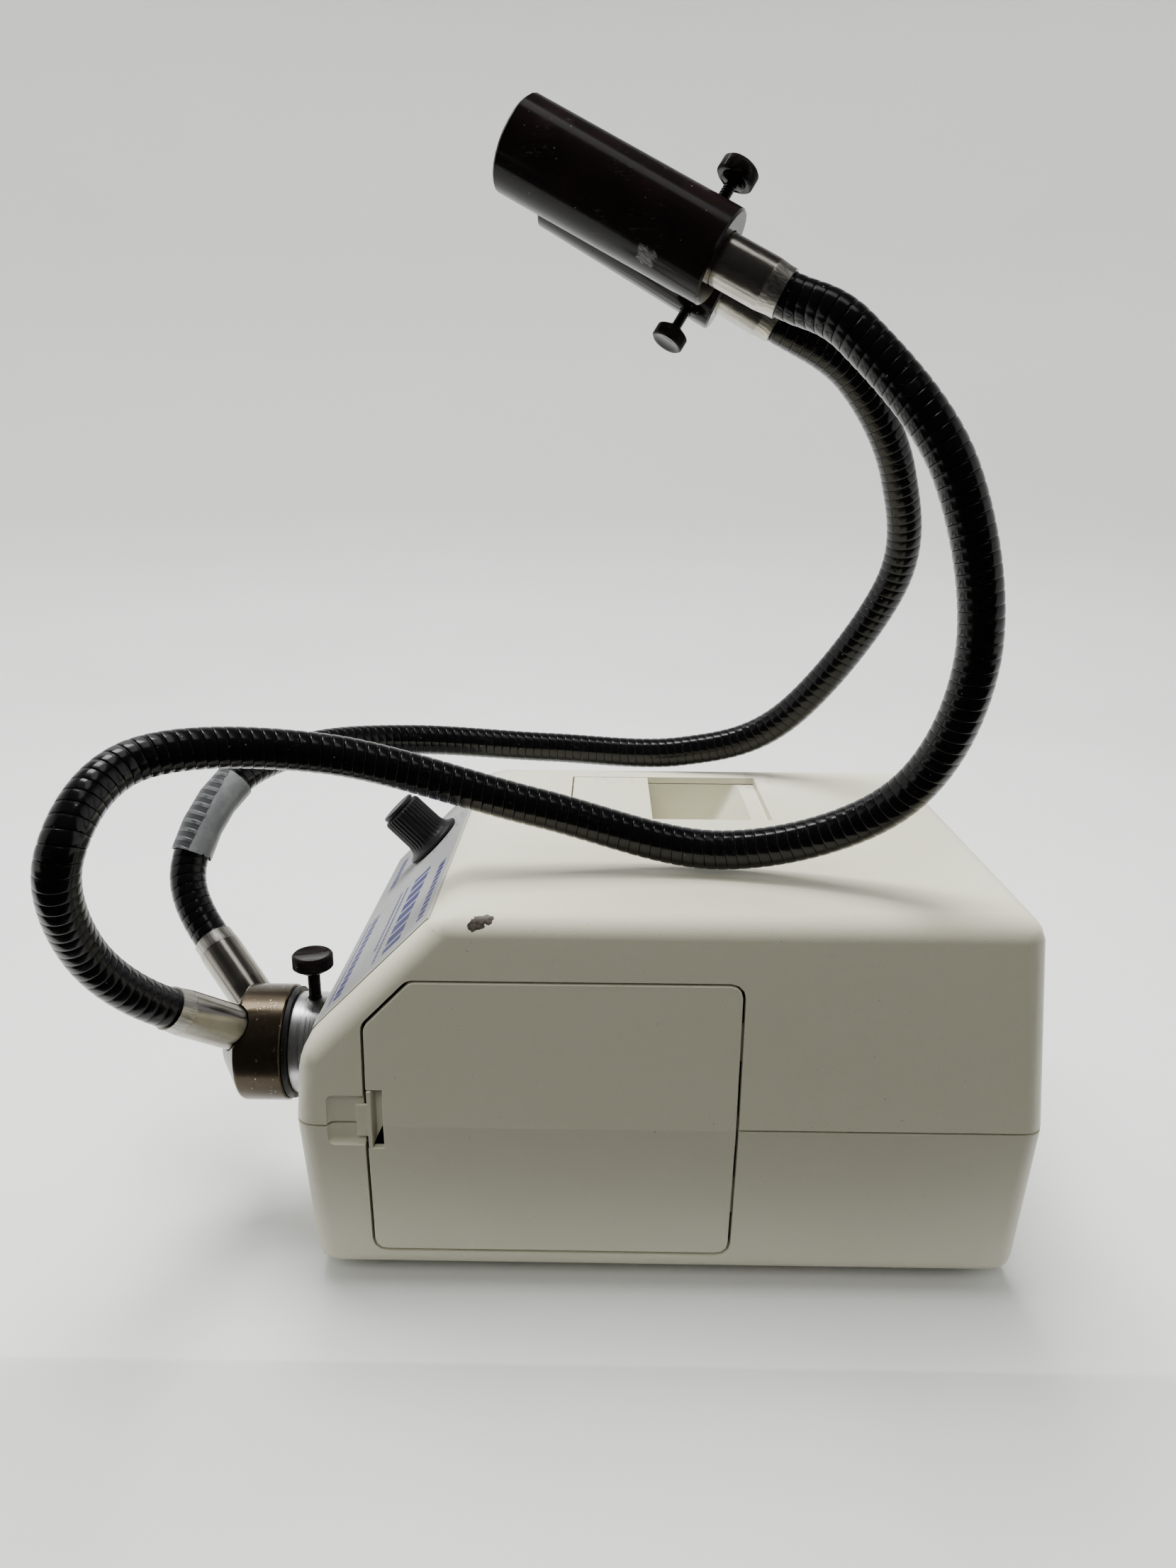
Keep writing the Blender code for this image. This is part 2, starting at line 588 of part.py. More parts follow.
# ---------------------------------------------------------------- parts inside
def make_transformer():
    low = Vector((-0.0670, -0.0200, 0.0058))
    size = Vector((0.0340, 0.0720, 0.0600))
    core = box("transformer_core", low, low + size, "core_steel")
    windows = []
    for shift in (0.0120, 0.0480):
        windows.append((low.y + shift, low.y + shift + 0.0120))
        boolean(core, box("core_window", (low.x - 0.01, windows[-1][0], low.z + 0.0120),
                          (low.x + size.x + 0.01, windows[-1][1], low.z + size.z - 0.0120), None))
    middle = (windows[0][1], windows[1][0])
    coil = box("transformer_coil", (low.x - 0.0060, windows[0][0] + 0.0008, low.z + 0.0126),
               (low.x + size.x + 0.0100, windows[1][1] - 0.0008, low.z + size.z - 0.0126), "coil_wrap")
    boolean(coil, box("coil_middle", (low.x - 0.0005, middle[0] - 0.0005, low.z - 0.01),
                      (low.x + size.x + 0.0005, middle[1] + 0.0005, low.z + size.z + 0.01), None))


def make_control_board():
    board = box("control_board", (-0.0700, -0.0930, 0.0160), (0.0080, -0.0480, 0.0176), "circuit_board")
    sink = box("heat_sink", (-0.0660, -0.0900, 0.0180), (-0.0360, -0.0700, 0.0205), "aluminium")
    for index in range(5):
        x = -0.0650 + index * 0.0067
        boolean(sink, box("fin", (x, -0.0895, 0.0200), (x + 0.0018, -0.0705, 0.0380), None), "UNION")
    rod("capacitor", 0.0065, (-0.0120, -0.0640, 0.0180), (-0.0120, -0.0640, 0.0420), "black_plastic",
        segments=24)
    for y in (-0.0900, -0.0510):
        for x in (-0.0660, 0.0040):
            boolean(board, rod("standoff", 0.0025, (x, y, 0.0055), (x, y, 0.0165), None, segments=12),
                    "UNION")


def make_knob():
    """Fluted knob with a skirt, its cap, and the potentiometer behind the panel."""
    base = on_slant(KNOB_X, KNOB_UP_SLANT, 0.0009)
    body_low = 0.0045
    knob = turned("intensity_knob",
                  [(0.0, KNOB_HEIGHT - 0.0012), (KNOB_BODY_RADIUS - 0.0006, KNOB_HEIGHT - 0.0012),
                   (KNOB_BODY_RADIUS, KNOB_HEIGHT - 0.0020), (KNOB_BODY_RADIUS + 0.0002, body_low + 0.001),
                   (KNOB_SKIRT_RADIUS - 0.0006, 0.0022), (KNOB_SKIRT_RADIUS, 0.0014),
                   (KNOB_SKIRT_RADIUS, 0.0), (0.0, 0.0)],
                  "black_plastic", base, SLANT_NORMAL, steps=32)
    frame = Matrix.Translation(base) @ SLANT_NORMAL.to_track_quat("Z", "Y").to_matrix().to_4x4()
    flutes = bmesh.new()
    for index in range(KNOB_FLUTES):
        angle = 2 * pi * index / KNOB_FLUTES
        place = Matrix.Translation((cos(angle) * (KNOB_BODY_RADIUS + 0.0004),
                                    sin(angle) * (KNOB_BODY_RADIUS + 0.0004), body_low + 0.0130))
        bmesh.ops.create_cone(flutes, cap_ends=True, segments=6, radius1=0.0008, radius2=0.0008,
                              depth=0.0210, matrix=frame @ place)
    boolean(knob, mesh_object("knob_flutes", flutes, None))
    boolean(knob, rod("shaft_bore", 0.0032, base - SLANT_NORMAL * 0.01, base + SLANT_NORMAL * 0.0120,
                      None, segments=24))
    turned("knob_cap", [(0.0, 0.0015), (0.0062, 0.0015), (0.0068, 0.0010), (0.0068, 0.0), (0.0, 0.0)],
           "black_plastic", base + SLANT_NORMAL * (KNOB_HEIGHT - 0.0012 + GAP), SLANT_NORMAL, steps=32)
    inside = on_slant(KNOB_X, KNOB_UP_SLANT, -WALL - GAP)
    turned("potentiometer", [(0.0, -0.0040), (0.0036, -0.0040), (0.0036, 0.0), (0.0120, 0.0),
                             (0.0120, -0.0100), (0.0, -0.0100)],
           "sheet_steel", inside, SLANT_NORMAL, steps=24)
    rod("potentiometer_shaft", 0.0029, inside - SLANT_NORMAL * 0.0036, base + SLANT_NORMAL * 0.0116,
        "aluminium", segments=24)


def make_nosepiece():
    """Aluminium tube that takes the light guide; its flange is behind the front wall."""
    nose = turned("nosepiece",
                  [(NOSE_RADIUS, NOSE_REACH), (NOSE_RADIUS, -0.0062), (0.0185, -0.0062), (0.0185, -0.0086),
                   (NOSE_RADIUS, -0.0086), (NOSE_RADIUS, -0.0180), (NOSE_BORE, -0.0180),
                   (NOSE_BORE, NOSE_REACH)],
                  "aluminium", (AXIS_X, -half_depth(AXIS_Z), AXIS_Z), (0, -1, 0), steps=32, hollow=True)
    screw_y = -0.1111
    boolean(nose, rod("screw_hole", NOSE_SCREW[1] + GAP, (AXIS_X, screw_y, AXIS_Z),
                      (AXIS_X, screw_y, AXIS_Z + 0.03), None, segments=16))
    thumb_screw("nosepiece_screw", (AXIS_X, screw_y, AXIS_Z + NOSE_BORE + GAP), (0, 0, 1), 0.0125,
                NOSE_SCREW)


def thumb_screw(name, tip, direction, shank, size):
    """Knurled thumb screw from the tip of its shank up to its head."""
    radius, shank_radius, height = size
    collar = radius - 0.0016
    low = shank + 0.0008
    high = low + height
    turned(name,
           [(0.0, high), (radius - 0.0004, high), (radius, high - 0.0004), (radius, low),
            (collar, low - 0.0002), (collar, shank), (shank_radius, shank), (shank_radius, 0.0), (0.0, 0.0)],
           "black_anodised", tip, direction, steps=16)


def make_lamp():
    """Reflector lamp on the optical axis, its socket, bracket and the heat filter in front."""
    length = LAMP_LENGTH
    inner = LAMP_RADIUS - 0.0016
    turned("lamp_reflector",
           [(0.0, -0.0255), (0.0070, -0.0255), (0.0136, -0.0185), (0.0200, -0.0090), (inner, -0.0022),
            (inner, 0.0), (LAMP_RADIUS, 0.0), (LAMP_RADIUS, -0.0030), (0.0215, -0.0100),
            (0.0150, -0.0200), (0.0080, -0.0275), (0.0, -0.0275)],
           "reflector_glass", (AXIS_X, LAMP_RIM_Y, AXIS_Z), (0, -1, 0), steps=20)
    base_y = LAMP_RIM_Y + 0.0275 + GAP
    base = box("lamp_base", (AXIS_X - 0.0080, base_y, AXIS_Z - 0.0045),
               (AXIS_X + 0.0080, base_y + length - 0.0300, AXIS_Z + 0.0045), "ceramic")
    pin_y = base_y + length - 0.0300
    for side in (-1, 1):
        boolean(base, rod("lamp_pin", 0.0008, (AXIS_X + side * 0.0032, pin_y - 0.001, AXIS_Z),
                          (AXIS_X + side * 0.0032, pin_y + 0.0060, AXIS_Z), None, segments=12), "UNION")
    socket = box("lamp_socket", (AXIS_X - 0.0090, pin_y + GAP, AXIS_Z - 0.0060),
                 (AXIS_X + 0.0090, pin_y + 0.0130, AXIS_Z + 0.0060), "ceramic")
    for side in (-1, 1):
        boolean(socket, rod("pin_hole", 0.0012, (AXIS_X + side * 0.0032, pin_y - 0.01, AXIS_Z),
                            (AXIS_X + side * 0.0032, pin_y + 0.0075, AXIS_Z), None, segments=12))
    plate_y = LAMP_RIM_Y - GAP
    bracket = box("lamp_bracket", (AXIS_X - 0.0300, plate_y - 0.0015, 0.0056),
                  (AXIS_X + 0.0280, plate_y, 0.0840), "sheet_steel")
    boolean(bracket, box("bracket_foot", (AXIS_X - 0.0300, plate_y - 0.0160, 0.0056),
                         (AXIS_X + 0.0280, plate_y - 0.0005, 0.0070), None), "UNION")
    boolean(bracket, rod("bracket_aperture", 0.0210, (AXIS_X, plate_y - 0.01, AXIS_Z),
                         (AXIS_X, plate_y + 0.01, AXIS_Z), None))
    rod("heat_filter", 0.0180, (AXIS_X, -0.0720, AXIS_Z), (AXIS_X, -0.0690, AXIS_Z), "glass")
    holder = box("filter_holder", (AXIS_X - 0.0220, -0.0736, 0.0056), (AXIS_X + 0.0220, -0.0674, 0.0760),
                 "sheet_steel")
    boolean(holder, rod("filter_seat", 0.0183, (AXIS_X, -0.0723, AXIS_Z), (AXIS_X, -0.0600, AXIS_Z), None))
    boolean(holder, rod("filter_window", 0.0165, (AXIS_X, -0.0800, AXIS_Z), (AXIS_X, -0.0600, AXIS_Z),
                        None))
    switch = box("interlock_switch", (0.0600, -0.0960, 0.0260), (0.0660, -0.0800, 0.0370),
                 "black_plastic")
    boolean(switch, box("switch_button", (0.0655, -0.0900, 0.0300), (0.0680, -0.0870, 0.0330), None),
            "UNION")


def make_fan():
    half = FAN_SIZE / 2
    back = 0.1000
    front = back - FAN_DEPTH
    frame = box("fan_frame", (FAN_X - half, front, FAN_Z - half), (FAN_X + half, back, FAN_Z + half),
                "black_plastic")
    bevel(frame, 0.0040, segments=2, angle=radians(60))
    boolean(frame, rod("fan_duct", half - 0.0020, (FAN_X, front - 0.01, FAN_Z),
                       (FAN_X, back + 0.01, FAN_Z), None, segments=40))
    motor = rod("fan_motor", 0.0150, (FAN_X, back - 0.0030, FAN_Z), (FAN_X, back, FAN_Z), None)
    for index in range(3):
        angle = 2 * pi * index / 3 + pi / 2
        reach = Vector((cos(angle), 0.0, sin(angle))) * (half - 0.0005)
        centre = Vector((FAN_X, back - 0.0016, FAN_Z))
        boolean(motor, rod("fan_strut", 0.0014, centre, centre + reach, None, segments=8), "UNION")
    boolean(frame, motor, "UNION")
    impeller = rod("fan_impeller", 0.0160, (FAN_X, back - 0.0035, FAN_Z),
                   (FAN_X, front + 0.0020, FAN_Z), "black_plastic")
    blades = bmesh.new()
    for index in range(FAN_BLADES):
        turn = Matrix.Rotation(2 * pi * index / FAN_BLADES, 4, "Y")
        pitch = Matrix.Rotation(radians(38), 4, "Z")
        place = Matrix.Translation((0.0, 0.0, 0.0250))
        size = Matrix.Diagonal((0.0012, 0.0180, 0.0210, 1.0))
        centre = Matrix.Translation((FAN_X, (front + back) / 2 - 0.0008, FAN_Z))
        bmesh.ops.create_cube(blades, size=1.0, matrix=centre @ turn @ place @ pitch @ size)
    boolean(impeller, mesh_object("fan_blades", blades, None), "UNION")


# ---------------------------------------------------------------- light guides
def make_head():
    """Bronze head that splits the light into two ferrules, its rear ring and the tip in the bore."""
    depth = HEAD_REAR_Y - HEAD_FACE_Y
    cone = HEAD_REAR_Y - HEAD_CONE_Y
    head = turned("light_guide_head",
                  [(0.0, depth), (HEAD_FACE_RADIUS - 0.001, depth), (HEAD_FACE_RADIUS, depth - 0.0006),
                   (HEAD_RADIUS - 0.0004, cone + 0.0004), (HEAD_RADIUS, cone - 0.0006),
                   (HEAD_RADIUS, 0.0004), (HEAD_RADIUS - 0.0004, 0.0), (0.0, 0.0)],
                  "bronze_anodised", (AXIS_X, HEAD_REAR_Y, AXIS_Z), (0, -1, 0), steps=36)
    top = -HEAD_REAR_Y - GAP
    ring_low = half_depth(AXIS_Z) + NOSE_REACH + GAP
    turned("head_ring", [(HEAD_RADIUS - 0.0007, top), (HEAD_RADIUS - 0.0007, ring_low),
                         (0.0131, ring_low), (0.0131, top)],
           "black_plastic", (AXIS_X, 0.0, AXIS_Z), (0, -1, 0), steps=32, hollow=True)
    turned("guide_tip", [(0.0, top), (0.0125, top), (0.0125, 0.0921), (0.0119, 0.0915),
                         (0.0, 0.0915)],
           "steel", (AXIS_X, 0.0, AXIS_Z), (0, -1, 0), steps=24)


def smooth_route(points, start_direction, end_direction):
    """Evenly spaced points along a smooth curve through the route's own points."""
    path = [Vector(point) for point in points]
    reach = (path[1] - path[0]).length
    before = path[1] - start_direction.normalized() * reach * 2
    reach = (path[-1] - path[-2]).length
    after = path[-2] + end_direction.normalized() * reach * 2
    path = [before, *path, after]
    fine = []
    marks = []
    for index in range(1, len(path) - 2):
        marks.append(len(fine))
        a, b, c, d = path[index - 1:index + 3]
        for step in range(24):
            t = step / 24
            fine.append(0.5 * (2 * b + (c - a) * t + (2 * a - 5 * b + 4 * c - d) * t ** 2
                               + (3 * b - a - 3 * c + d) * t ** 3))
    marks.append(len(fine))
    fine.append(path[-2])
    return fine, marks


def even_points(fine):
    """The same curve with points about one spacing apart, both ends kept."""
    lengths = [0.0]
    for a, b in zip(fine, fine[1:]):
        lengths.append(lengths[-1] + (b - a).length)
    count = max(3, round(lengths[-1] / ARM_SPACING) + 1)
    wanted = [lengths[-1] * index / (count - 1) for index in range(count)]
    points = []
    cursor = 0
    for goal in wanted:
        while cursor < len(lengths) - 2 and lengths[cursor + 1] < goal:
            cursor += 1
        span = lengths[cursor + 1] - lengths[cursor]
        points.append(fine[cursor].lerp(fine[cursor + 1], (goal - lengths[cursor]) / span))
    return points


def tube(name, points, radii, kind):
    """Tube through points with its own radius at each of them."""
    curve = bpy.data.curves.new(name, "CURVE")
    curve.dimensions = "3D"
    curve.bevel_depth = 1.0
    curve.bevel_resolution = 4
    curve.use_fill_caps = True
    spline = curve.splines.new("POLY")
    spline.points.add(len(points) - 1)
    for point, place, radius in zip(spline.points, points, radii):
        point.co = (*place, 1.0)
        point.radius = radius
    return as_mesh(add_object(name, curve, kind, smooth=False))


def arm_stretch(name, fine, start_along=None, end_along=None):
    """Stretch of gooseneck.

    An end with a given direction is flat and square to it. Without one, the start is a dome that
    turns in place against the flat end before it, which stops short of the dome."""
    if not end_along:
        pivot = fine[-1]
        fine = [point for point in fine if (point - pivot).length > ARM_RADIUS + GAP]
        end_along = (pivot - fine[-1]).normalized()
        fine.append(pivot - end_along * (ARM_RADIUS + GAP))
    points = even_points(fine)
    points.insert(-1, points[-1] - end_along * SQUARE_END)
    radii = [ARM_RADIUS] * (len(points) + 1)
    if start_along:
        points.insert(1, points[0] + start_along * SQUARE_END)
        return tube(name, points, radii, "conduit_black")
    forward = (points[1] - points[0]).normalized()
    angles = [radians(angle) for angle in (12, 32, 52, 71)]
    dome = [points[0] - forward * ARM_RADIUS * cos(angle) for angle in angles]
    radii = [ARM_RADIUS * sin(angle) for angle in angles] + radii[1:]
    return tube(name, dome + points, radii, "conduit_black")


def make_guide(side):
    """One light guide: lower ferrule, gooseneck in four stretches, upper ferrule and lens barrel."""
    guide = GUIDES[side]
    foot = guide["ferrule_foot"]
    first = Vector(guide["route"][0])
    last = Vector(guide["route"][-1])
    axis = guide["barrel_axis"].normalized()
    rise = first - foot
    lower = turned(f"{side}_lower_ferrule", ferrule_profile(rise.length), "steel", foot, rise, steps=24)
    head = bpy.data.objects["light_guide_head"]
    clear = rod(f"{side}_ferrule_hole", FERRULE_RADIUS + GAP, foot - rise.normalized() * GAP,
                foot + rise.normalized() * 0.03, None)
    boolean(head, clear)

    rear = guide["barrel_rear"]
    inside = BARREL_REAR_BORE - 0.0030
    upper = rear + axis * inside - last
    upper_axis = upper.normalized()
    fine, marks = smooth_route(guide["route"], rise, upper_axis)
    cuts = [0, *[marks[index] for index in guide["joints"]], len(fine) - 1]
    for index, part in enumerate(("base", "span", "loop", "tip")):
        stretch = fine[cuts[index]:cuts[index + 1] + 1]
        start_along = end_along = None
        if index == 0:
            start_along = rise.normalized()
            start = first + start_along * 2 * GAP
            stretch = [start, *[point for point in stretch if (point - first).length > SQUARE_END * 2]]
        if index == 3:
            end_along = upper_axis
            stretch = [point for point in stretch if (point - last).length > SQUARE_END * 2]
            stretch.append(last - upper_axis * GAP)
        arm_stretch(f"{side}_arm_{part}", stretch, start_along, end_along)

    turned(f"{side}_upper_ferrule",
           [(0.0, upper.length), (FERRULE_RADIUS, upper.length), (FERRULE_RADIUS, 0.0055),
            (FERRULE_SWAGE, 0.0020), (FERRULE_SWAGE, 0.0), (0.0, 0.0)],
           "steel", last, upper_axis, steps=24)
    make_barrel(side, last + upper_axis * (rear - last).length, upper_axis, guide)


def ferrule_profile(length):
    """Plain tube that is swaged down to the gooseneck at its outer end."""
    return [(0.0, length), (FERRULE_SWAGE, length), (FERRULE_SWAGE, length - 0.0020),
            (FERRULE_RADIUS, length - 0.0055), (FERRULE_RADIUS, 0.0), (0.0, 0.0)]


def make_barrel(side, rear, axis, guide):
    """Focusing barrel: a stepped bore, the lens near its front and the thumb screw at its rear."""
    bore = FERRULE_RADIUS + GAP
    step = BARREL_LENGTH - 0.0170
    barrel = turned(f"{side}_lens_barrel",
                    [(BARREL_RADIUS - 0.0006, BARREL_LENGTH), (BARREL_RADIUS, BARREL_LENGTH - 0.0006),
                     (BARREL_RADIUS, 0.0006), (BARREL_RADIUS - 0.0006, 0.0), (bore, 0.0),
                     (bore, BARREL_REAR_BORE), (0.0094, BARREL_REAR_BORE + 0.0020), (0.0094, step),
                     (LENS_RADIUS + GAP, step), (LENS_RADIUS + GAP, BARREL_LENGTH)],
                    "black_anodised", rear, axis, steps=28, hollow=True)
    turned(f"{side}_lens", [(0.0, 0.0046), (0.0050, 0.0040), (LENS_RADIUS, 0.0022), (LENS_RADIUS, 0.0),
                            (0.0, 0.0)],
           "glass", rear + axis * (step + GAP), axis, steps=20)
    level = Vector((0, 0, 1)) - axis * axis.z
    up = guide["screw_up"]
    out = (level.normalized() * up + Vector((-0.35 * up, 0, 0))).normalized()
    out = (out - axis * out.dot(axis)).normalized()
    place = rear + axis * 0.0080
    boolean(barrel, rod(f"{side}_barrel_hole", BARREL_SCREW[1] + GAP, place, place + out * 0.02, None,
                        segments=16))
    thumb_screw(f"{side}_barrel_screw", place + out * (bore + GAP), out, guide["screw_shank"], BARREL_SCREW)


def make_tape():
    """Blank tape marker wrapped round the far gooseneck."""
    guide = GUIDES["far"]
    fine, marks = smooth_route(guide["route"], Vector(guide["route"][0]) - guide["ferrule_foot"],
                               guide["barrel_axis"])
    stretch = even_points(fine[marks[1] + 4:marks[2] + 2])
    sleeve = tube("tape_marker", stretch, [ARM_RADIUS + 0.0011] * len(stretch), "tape")
    longer = even_points(fine[marks[1] - 2:marks[2] + 8])
    boolean(sleeve, tube("tape_inside", longer, [ARM_RADIUS + 0.0007] * len(longer), None))


make_shells()
make_door()
make_latch()
make_label()
make_handle()
make_feet()
make_rear()
make_chassis()
make_transformer()
make_control_board()
make_knob()
make_nosepiece()
make_lamp()
make_fan()
make_head()
for guide_side in GUIDES:
    make_guide(guide_side)
make_tape()
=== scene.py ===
"""Looks of a fibre-optic microscope illuminator: off-white moulded housing, bronze light-guide head,
two glossy black goosenecks and black focusing barrels. Metres, +Z up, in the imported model's frame."""

import json
from bisect import bisect_right
from math import cos, pi, radians, sin

import bmesh
import bpy
from mathutils import Matrix, Vector


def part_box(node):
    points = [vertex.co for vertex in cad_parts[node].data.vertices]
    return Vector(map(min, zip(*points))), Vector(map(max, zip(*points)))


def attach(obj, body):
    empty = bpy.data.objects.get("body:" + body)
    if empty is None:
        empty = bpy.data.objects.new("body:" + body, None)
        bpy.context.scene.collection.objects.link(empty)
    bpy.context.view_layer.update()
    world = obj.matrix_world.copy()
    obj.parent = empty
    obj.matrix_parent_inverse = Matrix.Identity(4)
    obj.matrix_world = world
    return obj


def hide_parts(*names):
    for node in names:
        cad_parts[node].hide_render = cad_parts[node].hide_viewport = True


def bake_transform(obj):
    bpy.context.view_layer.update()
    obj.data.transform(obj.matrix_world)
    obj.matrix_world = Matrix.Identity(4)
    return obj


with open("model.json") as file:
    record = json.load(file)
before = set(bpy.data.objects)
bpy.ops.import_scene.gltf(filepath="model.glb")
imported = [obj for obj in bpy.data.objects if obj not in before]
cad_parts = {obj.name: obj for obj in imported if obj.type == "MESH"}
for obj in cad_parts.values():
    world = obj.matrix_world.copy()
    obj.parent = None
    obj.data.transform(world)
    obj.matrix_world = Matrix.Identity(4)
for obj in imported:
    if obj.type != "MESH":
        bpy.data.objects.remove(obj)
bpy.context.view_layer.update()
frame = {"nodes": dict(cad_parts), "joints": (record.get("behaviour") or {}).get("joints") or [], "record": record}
JOINTS = {joint["name"]: joint for joint in frame["joints"]}
BODY_OF = {node: body for body, nodes in frame["record"]["behaviour"]["bodies"].items() for node in nodes}
SLOT_OF = {part["node"]: part["material_slot"] for part in frame["record"]["subparts"]}

# Where the housing's own origin stands. The goosenecks' routes are measured from it.
HOUSING_ORIGIN = Vector((-0.00641, 0.03047, 0.0035))

# Camera: place, then heading, pitch and roll, and the lens in millimetres
CAMERA_PLACE = Vector((0.34749, 0.01117, 0.23780))
CAMERA_HEADING = radians(0.87)
CAMERA_PITCH = radians(16.34)
CAMERA_ROLL = radians(0.26)
CAMERA_LENS = 24.99

# Goosenecks: radius of the conduit, length of one turn and how many points go round it
CONDUIT_RADIUS = 0.00595
CONDUIT_PITCH = 0.0033
CONDUIT_COLUMNS = 40
CONDUIT_PROFILE = ((0.00, -0.00026), (0.030, -0.00006), (0.060, -0.00001), (0.13, 0.00002), (0.28, 0.00004),
                   (0.45, 0.00005), (0.62, 0.00004), (0.80, 0.00002), (0.860, -0.00001), (0.885, -0.00008),
                   (0.965, -0.00010))
CONDUIT_CREASE = 24.0
# How far the conduit goes into the ferrules
TUCK = 0.006
# Half a length along the route that is looked up but not used, and half the length of the piece that lies across a
# joint
BEND_REACH = 0.016
BEND_PIECE = 0.022
# The conduit is split where this body starts, and the ball inside is this much smaller than the conduit
SPLIT_BODY = "tip"
BALL_INSET = 0.0004
BALL_RINGS = 16
BALL_COLUMNS = 32
ROUTES = {
    "near": {
        "foot": (0.0475, -0.1330, 0.0625),
        "points": [(0.0655, -0.1475, 0.0795), (0.0830, -0.1610, 0.1050), (0.0950, -0.1580, 0.1380),
                   (0.0700, -0.1460, 0.1570), (0.0460, -0.1010, 0.1525), (0.0390, -0.0400, 0.1345),
                   (0.0415, 0.0170, 0.1222), (0.0540, 0.0640, 0.1415), (0.0670, 0.0790, 0.1840),
                   (0.0665, 0.0690, 0.2330), (0.0560, 0.0440, 0.2665), (0.0470, 0.0265, 0.2770)],
    },
    "far": {
        "foot": (0.0315, -0.1330, 0.0635),
        "points": [(0.0170, -0.1510, 0.0795), (0.0035, -0.1625, 0.1000), (-0.0170, -0.1520, 0.1245),
                   (-0.0485, -0.1315, 0.1300), (-0.0740, -0.0960, 0.1270), (-0.0820, -0.0420, 0.1222),
                   (-0.0770, 0.0120, 0.1222), (-0.0680, 0.0520, 0.1390), (-0.0510, 0.0850, 0.1920),
                   (-0.0365, 0.0810, 0.2310), (-0.0255, 0.0610, 0.2620), (-0.0208, 0.0345, 0.2780)],
    },
}
# Which point of a route is a joint, and the stretches that it joins
ROUTE_JOINTS = {3: ("light_guide", "span"), 7: ("span", "loop"), 9: ("loop", "tip")}

# Tape marker: its middle, the way the conduit runs there and the side that the paper leaves clear
TAPE_PLACE = Vector((-0.0068, -0.1572, 0.1122)) + HOUSING_ORIGIN
TAPE_AXIS = (-0.61, 0.31, 0.73)
TAPE_SIDE = (0.0, -0.92, 0.39)

# Scraped spot on the near barrel, and the way the barrel runs
SCRAPE_PLACE = (0.0409, 0.0205, 0.2893)
SCRAPE_AXIS = (0.125, 0.874, -0.470)

# How far from a ferrule's conduit end its crimp and its drawing lines reach
CRIMP_REACH = 0.0086
FERRULE_REACH = 0.022

# Thumb screws: radius of the head, radius of the shank and height of the head
SCREW_SIZES = {"nosepiece_screw": (0.0064, 0.0020, 0.0048), "near_barrel_screw": (0.0053, 0.00165, 0.0044),
               "far_barrel_screw": (0.0053, 0.00165, 0.0044)}
KNURL_TEETH = 54
KNURL_DEPTH = 0.00022
THREAD_PITCH = 0.00079
THREAD_DEPTH = 0.00032
THREAD_COLUMNS = 24
THREAD_PROFILE = ((0.0, -0.00030), (0.18, -0.00030), (0.45, 0.0), (0.62, 0.0))

# Flat faces of at least this area that meet at more than this angle keep a sharp edge
BROAD_FACE = 0.0008
KINK = radians(2.5)

KNOB_RADIUS = 0.0080
KNOB_RIBS = 32
KNOB_RIB_DEPTH = 0.00032

# Chips in the near top edge: place and radius
CHIPS = (((0.0702, -0.0235, 0.1161), 0.0024), ((0.0694, -0.0210, 0.1169), 0.0017),
         ((0.0707, -0.0252, 0.1155), 0.0012), ((0.0690, -0.0196, 0.1172), 0.0009))
# Marks that tape has left on the top: left, right, front and back
RESIDUE = ((-0.0768, -0.0600, 0.0077, 0.0230), (-0.0800, -0.0590, 0.0676, 0.0790))

# Label: its slope, pale rim, the dots round the knob, and the blue blocks
LABEL_SLOPE = pi / 4
LABEL_RIM = 0.0012
DOT_SPACING = radians(27.0)
DOT_SWEEP = radians(140.0)
DOT_RING = 0.0148
LABEL_BLUE = (0.005, 0.006, 0.085)
BLOCK_GAP = 0.22
# Rows of plain blocks: left, right, bottom and top as shares of the label, and a block's length
LABEL_STRIPES = ((0.52, 0.95, 0.56, 0.72, 0.0085), (0.52, 0.95, 0.47, 0.495, 0.0030),
                 (0.52, 0.86, 0.41, 0.435, 0.0030), (0.60, 0.95, 0.86, 0.92, 0.0045),
                 (0.52, 0.95, 0.13, 0.20, 0.0050), (0.52, 0.95, 0.08, 0.10, 0.0024),
                 (0.10, 0.34, 0.13, 0.20, 0.0050))

# Studio: radius of the flat floor, height of the curve that leads into the wall, and the wall's top
FLOOR_FLAT = 0.85
FLOOR_CURVE = 0.55
WALL_TOP = 1.90
CURVE_STEPS = 12


